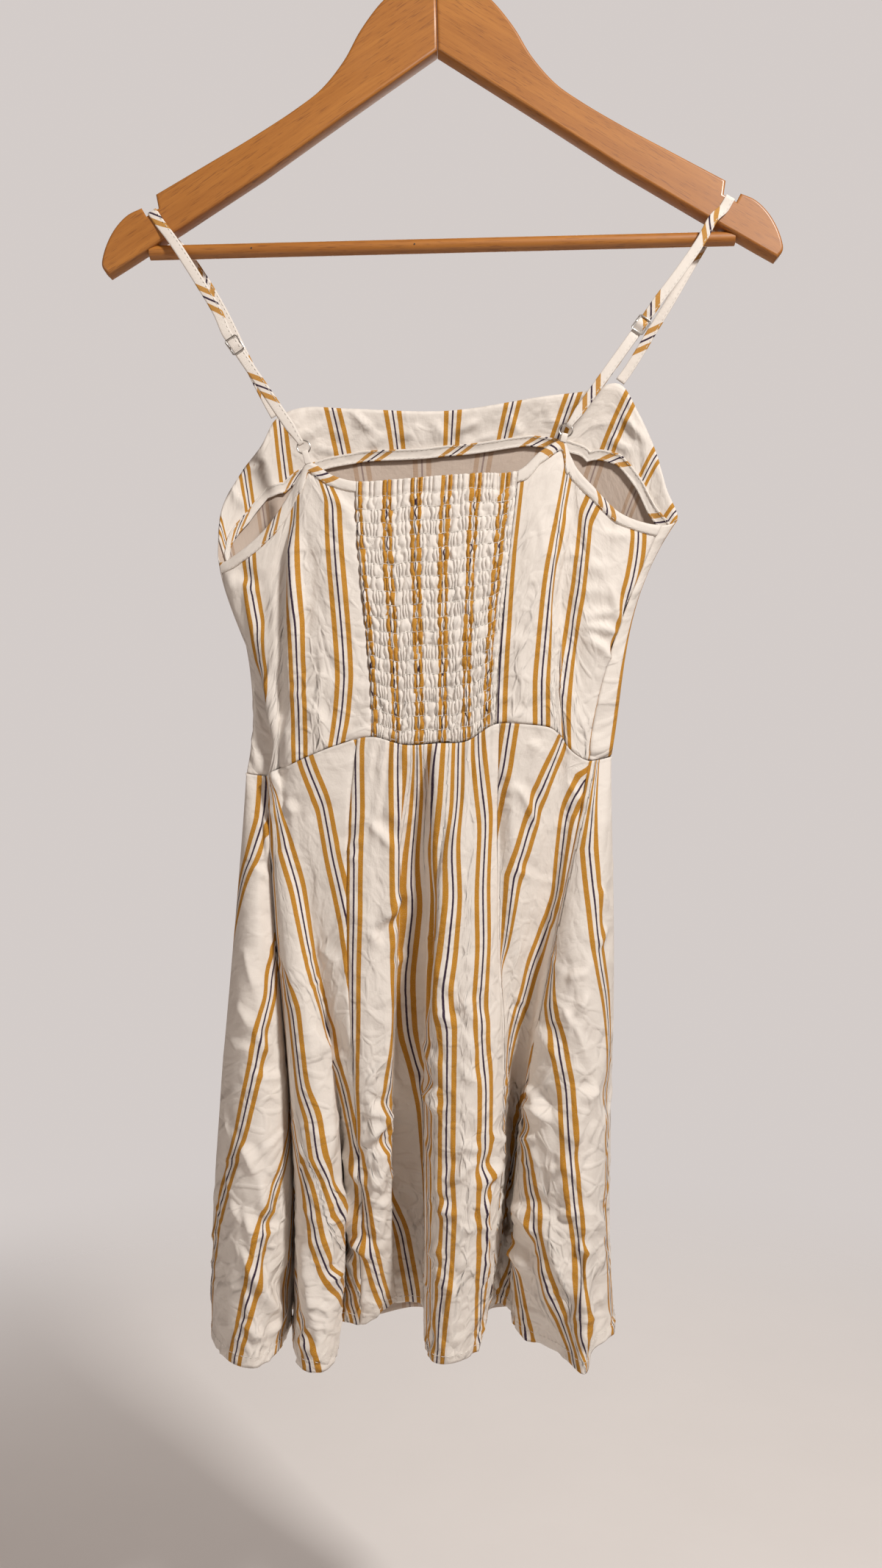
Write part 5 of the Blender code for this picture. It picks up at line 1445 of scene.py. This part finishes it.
def pleat(cloth):
    """Small pleats that start at the waist seam and run out down the skirt."""
    for line, width, height, reach in WAIST_PLEATS:
        at = np.array([np.interp(line, cloth.s[:, r], cloth.across[:, r]) for r in range(cloth.s.shape[1])])
        fade = np.exp(-cloth.down / reach) * smooth(*PLEAT_START, cloth.down)
        cloth.lift += height * fade * np.exp(-((cloth.across - at) / width) ** 2)


# -------------------------------------------------------------------- hanger

def as_mesh(made):
    """The curve as a mesh at its place, shaded smooth but for sharp edges."""
    bpy.context.view_layer.update()
    mesh = bpy.data.meshes.new_from_object(made.evaluated_get(bpy.context.evaluated_depsgraph_get()))
    mesh.transform(made.matrix_world)
    mesh.shade_smooth()
    mesh.set_sharp_from_angle(angle=SHARP)
    name, materials = made.name, list(made.data.materials)
    bpy.data.objects.remove(made)
    mesh.materials.clear()
    return link(name, mesh, *materials)


def add_line(curve, points, closed):
    """A line of straight runs through points, in millimetres, added to a curve."""
    spline = curve.splines.new("POLY")
    spline.points.add(len(points) - 1)
    spline.use_cyclic_u = closed
    for point, (x, y, z) in zip(spline.points, points):
        point.co = (x * MM, y * MM, z * MM, 1.0)


def flat_piece(name, outlines, thick, edge, mat, turn=0.0, at=(0.0, 0.0, 0.0)):
    """A flat piece in the XZ plane from closed outlines, the first the outer.

    edge gives the radius of its rounded edges and the steps in their rounding.
    """
    rounding, steps = edge
    curve = bpy.data.curves.new(name, "CURVE")
    curve.dimensions = "2D"
    curve.fill_mode = "BOTH"
    curve.extrude = (thick / 2 - rounding) * MM
    curve.bevel_depth = rounding * MM
    curve.bevel_resolution = steps
    curve.offset = -rounding * MM
    for outline in outlines:
        add_line(curve, [(x, z, 0.0) for x, z in outline], True)
    made = link(name, curve, mat)
    made.rotation_euler = (math.pi / 2, turn, 0.0)
    made.location = Vector(at) * MM
    return as_mesh(made)


def wire(name, points, radius, mat, closed=False, steps=WIRE_STEPS):
    """A round bar or wire along the points."""
    curve = bpy.data.curves.new(name, "CURVE")
    curve.dimensions = "3D"
    curve.bevel_depth = radius * MM
    curve.bevel_resolution = steps
    curve.use_fill_caps = True
    add_line(curve, points, closed)
    return as_mesh(link(name, curve, mat))


def tilted(x, z):
    """A place on the hanger as it hangs."""
    return np.array((x * math.cos(HANGER_TILT) - z * math.sin(HANGER_TILT), 0.0,
                     x * math.sin(HANGER_TILT) + z * math.cos(HANGER_TILT)))


def hang(piece):
    """Turn a piece of the hanger to the tilt at which it hangs."""
    piece.rotation_euler = (0.0, -HANGER_TILT, 0.0)
    return piece


def arm_outline(side):
    """An arm's outline as x and z: shoulder, notch, rounded end and underside."""
    shoulder = open_curve([(x, z, 0) for x, z in ARM_SHOULDER], ARM_STEPS[0])
    end = open_curve([(x, z, 0) for x, z in ARM_END], ARM_STEPS[1])
    points = [(p[0], p[1]) for p in shoulder] + list(NOTCH_FLOOR)
    points += [(p[0], p[1]) for p in end] + list(ARM_UNDERSIDE)
    return [(side * max(x, SEAM_GAP / 4), z) for x, z in points]


def make_arm(side, sign):
    wood = varnished_wood("varnished_beech_" + side, -sign * ARM_GRAIN)
    name = "hanger_arm_" + side
    stand_for(hang(flat_piece(name + "_wood", [arm_outline(sign)], ARM_THICK, ARM_EDGE, wood)), name)


def make_bar():
    """The trouser bar, and the two pins that show on it."""
    (x1, z1), (x2, z2) = ARM_UNDERSIDE[:2]
    reach = x1 + (x2 - x1) * (BAR_LEVEL - z1) / (z2 - z1) - BAR_SHORT
    points = [(x, 0.0, BAR_LEVEL) for x in np.linspace(-reach, reach, BAR_POINTS)]
    wood = varnished_wood("varnished_beech_bar", 0.0)
    stand_for(hang(wire("hanger_bar_wood", points, BAR_RADIUS, wood, steps=BAR_STEPS)), "hanger_bar")
    for number, (x, z) in enumerate(PINS):
        ends = [(x, -BAR_RADIUS + deep, z) for deep in PIN_REACH]
        pin = hang(wire("hanger_pin_%d" % number, ends, PIN_RADIUS, PIN_METAL))
        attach(pin, "root")


def make_hook():
    """A shank that rises from between the arms, an elbow, and an open round hook."""
    radius = HOOK_INNER_RADIUS + HOOK_WIRE / 2
    foot = ARM_SHOULDER[0][1] + CLEARANCE
    elbow, rise = HOOK_ELBOW
    route = [(0, 0, foot), (0, 0, foot + HOOK_SHANK / 2), (0, 0, foot + HOOK_SHANK), (elbow, 0, foot + rise)]
    for degrees in range(HOOK_ARC[0], HOOK_ARC[1] + 1, HOOK_ARC_STEP):
        angle = math.radians(degrees)
        route.append((radius * math.cos(angle), 0, radius * math.sin(angle) - HOOK_INNER_RADIUS))
    hook = wire("hanger_hook_wire", open_curve(route, HOOK_STEP), HOOK_WIRE / 2, METAL)
    stand_for(hang(hook), "hanger_hook")


# -------------------------------------------------------------------- straps

NEAR = np.array((0.0, -1.0, 0.0))  # out of the garment's back


def notch_floor(side):
    """The middle of an arm's notch floor, and the way along it to the right."""
    inner, outer = [tilted(side * x, z) for x, z in NOTCH_FLOOR]
    return (inner + outer) / 2, unit(outer - inner) * side


def over_notch(side):
    """A strap's route over the rounded floor of an arm's notch, from front to back."""
    floor, across = notch_floor(side)
    up = np.cross(across, (0, 1, 0))
    above = STRAP_THICK / 2 + CLEARANCE
    beside = ARM_THICK / 2 + above
    corner = ARM_THICK / 2 - NOTCH_ROUND
    turn = (NOTCH_ROUND + above) * math.sqrt(0.5)
    low, mid = NOTCH_HANG
    profile = ((beside, low), (beside, mid), (beside, -NOTCH_ROUND),
               (corner + turn, turn - NOTCH_ROUND), (corner, above), (0.0, above))
    route = [floor + up * rise - NEAR * y for y, rise in profile]
    return route + [floor + up * rise + NEAR * y for y, rise in profile[-2::-1]]


def ring_turn():
    """Where a bunched strap lies on its ring, up and out from the ring's middle."""
    through_ring = RING_RADIUS - WIRE / 2
    chord = math.sqrt(through_ring ** 2 - (STRAP_NECK / 2) ** 2) - CLEARANCE - STRAP_THICK / 2
    return ((chord + RING_TURN[0], RING_TURN[1]), (chord, 0.0))


def strap_route(spec):
    """From the front over the notch, through slider and ring, and back to the slider."""
    slider = np.array(spec["slider"], float)
    ring = np.array(spec["ring"], float)
    pull = unit((slider - ring) * (1.0, 0.0, 1.0))
    weave = WIRE / 2 + STRAP_THICK / 2 + CLEARANCE
    pitch = (SLIDER_HEIGHT - SLIDER_RIM) / 2
    doubled = weave + STRAP_THICK + CLEARANCE
    around = ((RING_RADIUS + RING_LEAVE, RING_STAND), (RING_RADIUS, RING_STAND)) + ring_turn()
    (above, eased_above), (below, eased_below) = ABOVE_SLIDER, BELOW_SLIDER
    along_out = [(pitch + above, -weave * eased_above), (pitch, -weave), (0.0, weave), (-pitch, -weave),
                 (-pitch - below, -weave * eased_below)]
    ended = [(-pitch - along, -doubled - off) for along, off in DOUBLED]
    ended.append((-pitch * DOUBLED_END[0], -weave - DOUBLED_END[1]))
    route = [np.array(at, float) for at in spec["far"]] + over_notch(spec["notch_side"])
    route += [np.array(at, float) for at in spec["near"]]
    route += [slider + pull * along + NEAR * out for along, out in along_out]
    route += [ring + pull * up + NEAR * out for up, out in around]
    route += [ring + pull * up - NEAR * out for up, out in around[-2::-1]]
    return route + [slider + pull * along + NEAR * out for along, out in ended], pull


def ribbon(name, points, across, widths, stripes_at):
    """A flat folded strip with rounded edges, its stripes on the bias."""
    section = list(STRAP_SECTION) + [(-a, -b) for a, b in STRAP_SECTION]
    count = len(section)
    run = lengths(points)
    verts, cut = [], []
    for i, at in enumerate(points):
        along = unit(points[min(i + 1, len(points) - 1)] - points[max(i - 1, 0)])
        side = unit(across[i] - along * across[i].dot(along))
        face = np.cross(side, along)
        for a, b in section:
            verts.append(at + side * a * widths[i] / 2 + face * b * STRAP_THICK / 2)
            place = (run[i] + stripes_at) * math.sin(STRAP_BIAS) - a * STRAP_WIDTH / 2 * math.cos(STRAP_BIAS)
            cut.append((place, run[i]))
    faces = [(low + k, low + (k + 1) % count, low + count + (k + 1) % count, low + count + k)
             for low in range(0, len(verts) - count, count) for k in range(count)]
    faces.append(list(range(count))[::-1])
    faces.append([len(verts) - count + k for k in range(count)])
    return link(name, smooth_mesh(name, verts, faces, cut), BOUND)


def make_strap(side, spec):
    route, pull = strap_route(spec)
    points = open_curve(route, STRAP_STEP)
    across, widths = strap_lie(spec, pull, points, route[len(spec["far"]) + NOTCH_MIDDLE])
    name = "strap_" + side
    made = ribbon(name + "_cloth", points, across, widths, STRAP_STRIPES_AT[side])
    stitches(name + "_stitches", strap_stitches(points, across, widths))
    stand_for(made, name)


def strap_lie(spec, pull, points, notch):
    """Which way the strap's width runs at each point, and how wide it is there."""
    floor_across = notch_floor(spec["notch_side"])[1]
    pull_across = np.array((pull[2], 0, -pull[0]))
    bunched, wide = RING_BUNCH
    across, widths = [], []
    for at in points:
        blend = min(1.0, np.linalg.norm(at - notch) / STRAP_TWIST)
        across.append(unit(floor_across * (1 - blend) + pull_across * blend))
        share = (np.linalg.norm(at - spec["ring"]) - bunched) / (wide - bunched)
        widths.append(STRAP_NECK + (STRAP_WIDTH - STRAP_NECK) * min(1.0, max(0.0, share)))
    return across, widths


def strap_stitches(points, across, widths):
    """Stitches along one edge of a strap, on both of its faces."""
    points = np.array(points)
    run = lengths(points)
    placed = []
    for start in np.arange(STRAP_STITCH_START, run[-1] - STITCH, STITCH):
        for face in (-1, 1):
            places = []
            for along in start + STITCH * np.array(STITCH_SPAN):
                k = min(int(np.searchsorted(run, along)), len(points) - 1)
                way = unit(points[k] - points[k - 1])
                aside = unit(across[k] - way * across[k].dot(way))
                up = np.cross(aside, way) * face
                at = np.array([np.interp(along, run, points[:, axis]) for axis in range(3)])
                places.append((at + aside * (widths[k] / 2 - STRAP_STITCH_IN) + up * STRAP_THICK / 2, up))
            placed.append(places)
    return placed


def make_slider(side, spec):
    """A flat frame with two slots, the strap woven over its middle bar."""
    slider = np.array(spec["slider"], float)
    pull = slider - spec["ring"]
    wide, high = SLIDER_WIDTH / 2, SLIDER_HEIGHT / 2
    cut_w, cut_h = wide - SLIDER_CORNER, high - SLIDER_CORNER
    outlines = [[(-cut_w, -high), (cut_w, -high), (wide, -cut_h), (wide, cut_h),
                 (cut_w, high), (-cut_w, high), (-wide, cut_h), (-wide, -cut_h)]]
    hole, low, top = wide - SLIDER_RIM, SLIDER_RIM / 2, high - SLIDER_RIM
    for sign in (-1, 1):
        outlines.append([(-hole, sign * low), (hole, sign * low), (hole, sign * top), (-hole, sign * top)])
    made = flat_piece("slider_%s_metal" % side, outlines, SLIDER_THICK, SLIDER_EDGE, METAL,
                      math.atan2(pull[0], pull[2]), slider)
    stand_for(made, "slider_" + side)


def make_ring(side, spec):
    angles = 2 * math.pi * np.arange(RING_SIDES) / RING_SIDES
    around = np.stack([np.cos(angles), np.zeros(RING_SIDES), np.sin(angles)], 1)
    points = around * RING_RADIUS + spec["ring"]
    stand_for(wire("ring_%s_metal" % side, points, WIRE / 2, METAL, closed=True), "ring_" + side)


def make_ring_tab(side, spec):
    """A loop of strap that ties the ring to the back's peak."""
    ring = np.array(spec["ring"], float)
    px, pz = spec["peak"]
    foot = np.array((px, ring[1], pz), float)
    down = unit(foot - ring)
    reach = np.linalg.norm(foot - ring) + TAB_PAST
    profile = [(reach, RING_STAND * TAB_FOOT), ((reach + RING_RADIUS) / 2, RING_STAND),
               (RING_RADIUS * TAB_LIFT, RING_STAND), *ring_turn()]
    profile += [(up, -y) for up, y in profile[-2::-1]]
    points = open_curve([ring + down * up + NEAR * y for up, y in profile], TAB_STEP)
    across = [np.array((down[2], 0, -down[0]))] * len(points)
    made = ribbon("ring_tab_%s_cloth" % side, points, across, [STRAP_NECK] * len(points), TAB_STRIPES_AT)
    stand_for(made, "ring_tab_" + side)


# ------------------------------------------------------- camera, floor, light

def put(name, data, at, turn):
    """A camera or lamp at its place in the scene."""
    made = bpy.data.objects.new(name, data)
    made.location = at
    made.rotation_euler = turn
    bpy.context.scene.collection.objects.link(made)
    return made


def make_camera():
    camera = bpy.data.cameras.new("camera")
    camera.sensor_fit = "VERTICAL"
    camera.sensor_height = SENSOR
    camera.angle_y = CAMERA_ANGLE
    bpy.context.scene.camera = put("camera", camera, CAMERA_AT, (math.pi / 2, 0.0, 0.0))


def make_floor():
    around = ((-1, -1), (1, -1), (1, 1), (-1, 1))
    corners = [(x * FLOOR_HALF, y * FLOOR_HALF, FLOOR_LEVEL) for x, y in around]
    mesh = bpy.data.meshes.new("floor")
    mesh.from_pydata(corners, [], [(0, 1, 2, 3)])
    link("floor", mesh, pale_floor("pale_floor"))


def make_light():
    """Three soft lamps, and a world that looks pale but lights the scene only a little."""
    world = bpy.data.worlds.new("pale_studio")
    world.use_nodes = True
    tree = world.node_tree
    tone = tree.nodes.new("ShaderNodeMix")
    tone.data_type = "RGBA"
    tone.inputs[6].default_value = AMBIENT
    tone.inputs[7].default_value = BACKGROUND
    tree.links.new(tree.nodes.new("ShaderNodeLightPath").outputs["Is Camera Ray"], tone.inputs[0])
    tree.links.new(tone.outputs[2], tree.nodes["Background"].inputs["Color"])
    bpy.context.scene.world = world
    bpy.context.scene.view_settings.view_transform = "Standard"
    for name, at, size, power, colour in LIGHTS:
        lamp = bpy.data.lights.new(name, "AREA")
        lamp.size = size
        lamp.energy = power
        lamp.color = colour
        put(name, lamp, at, (LIT - Vector(at)).to_track_quat("-Z", "Y").to_euler())


make_camera()
make_floor()
make_light()
make_front()
make_facing()
make_back_panel("left", LINE["side_left"], LINE["smock_left"])
make_back_panel("right", LINE["smock_right"], LINE["side_right"])
make_smocking()
make_skirt()
make_arm("left", -1)
make_arm("right", 1)
make_bar()
make_hook()
for strap_side, strap_spec in STRAPS.items():
    make_strap(strap_side, strap_spec)
    make_slider(strap_side, strap_spec)
    make_ring(strap_side, strap_spec)
    make_ring_tab(strap_side, strap_spec)
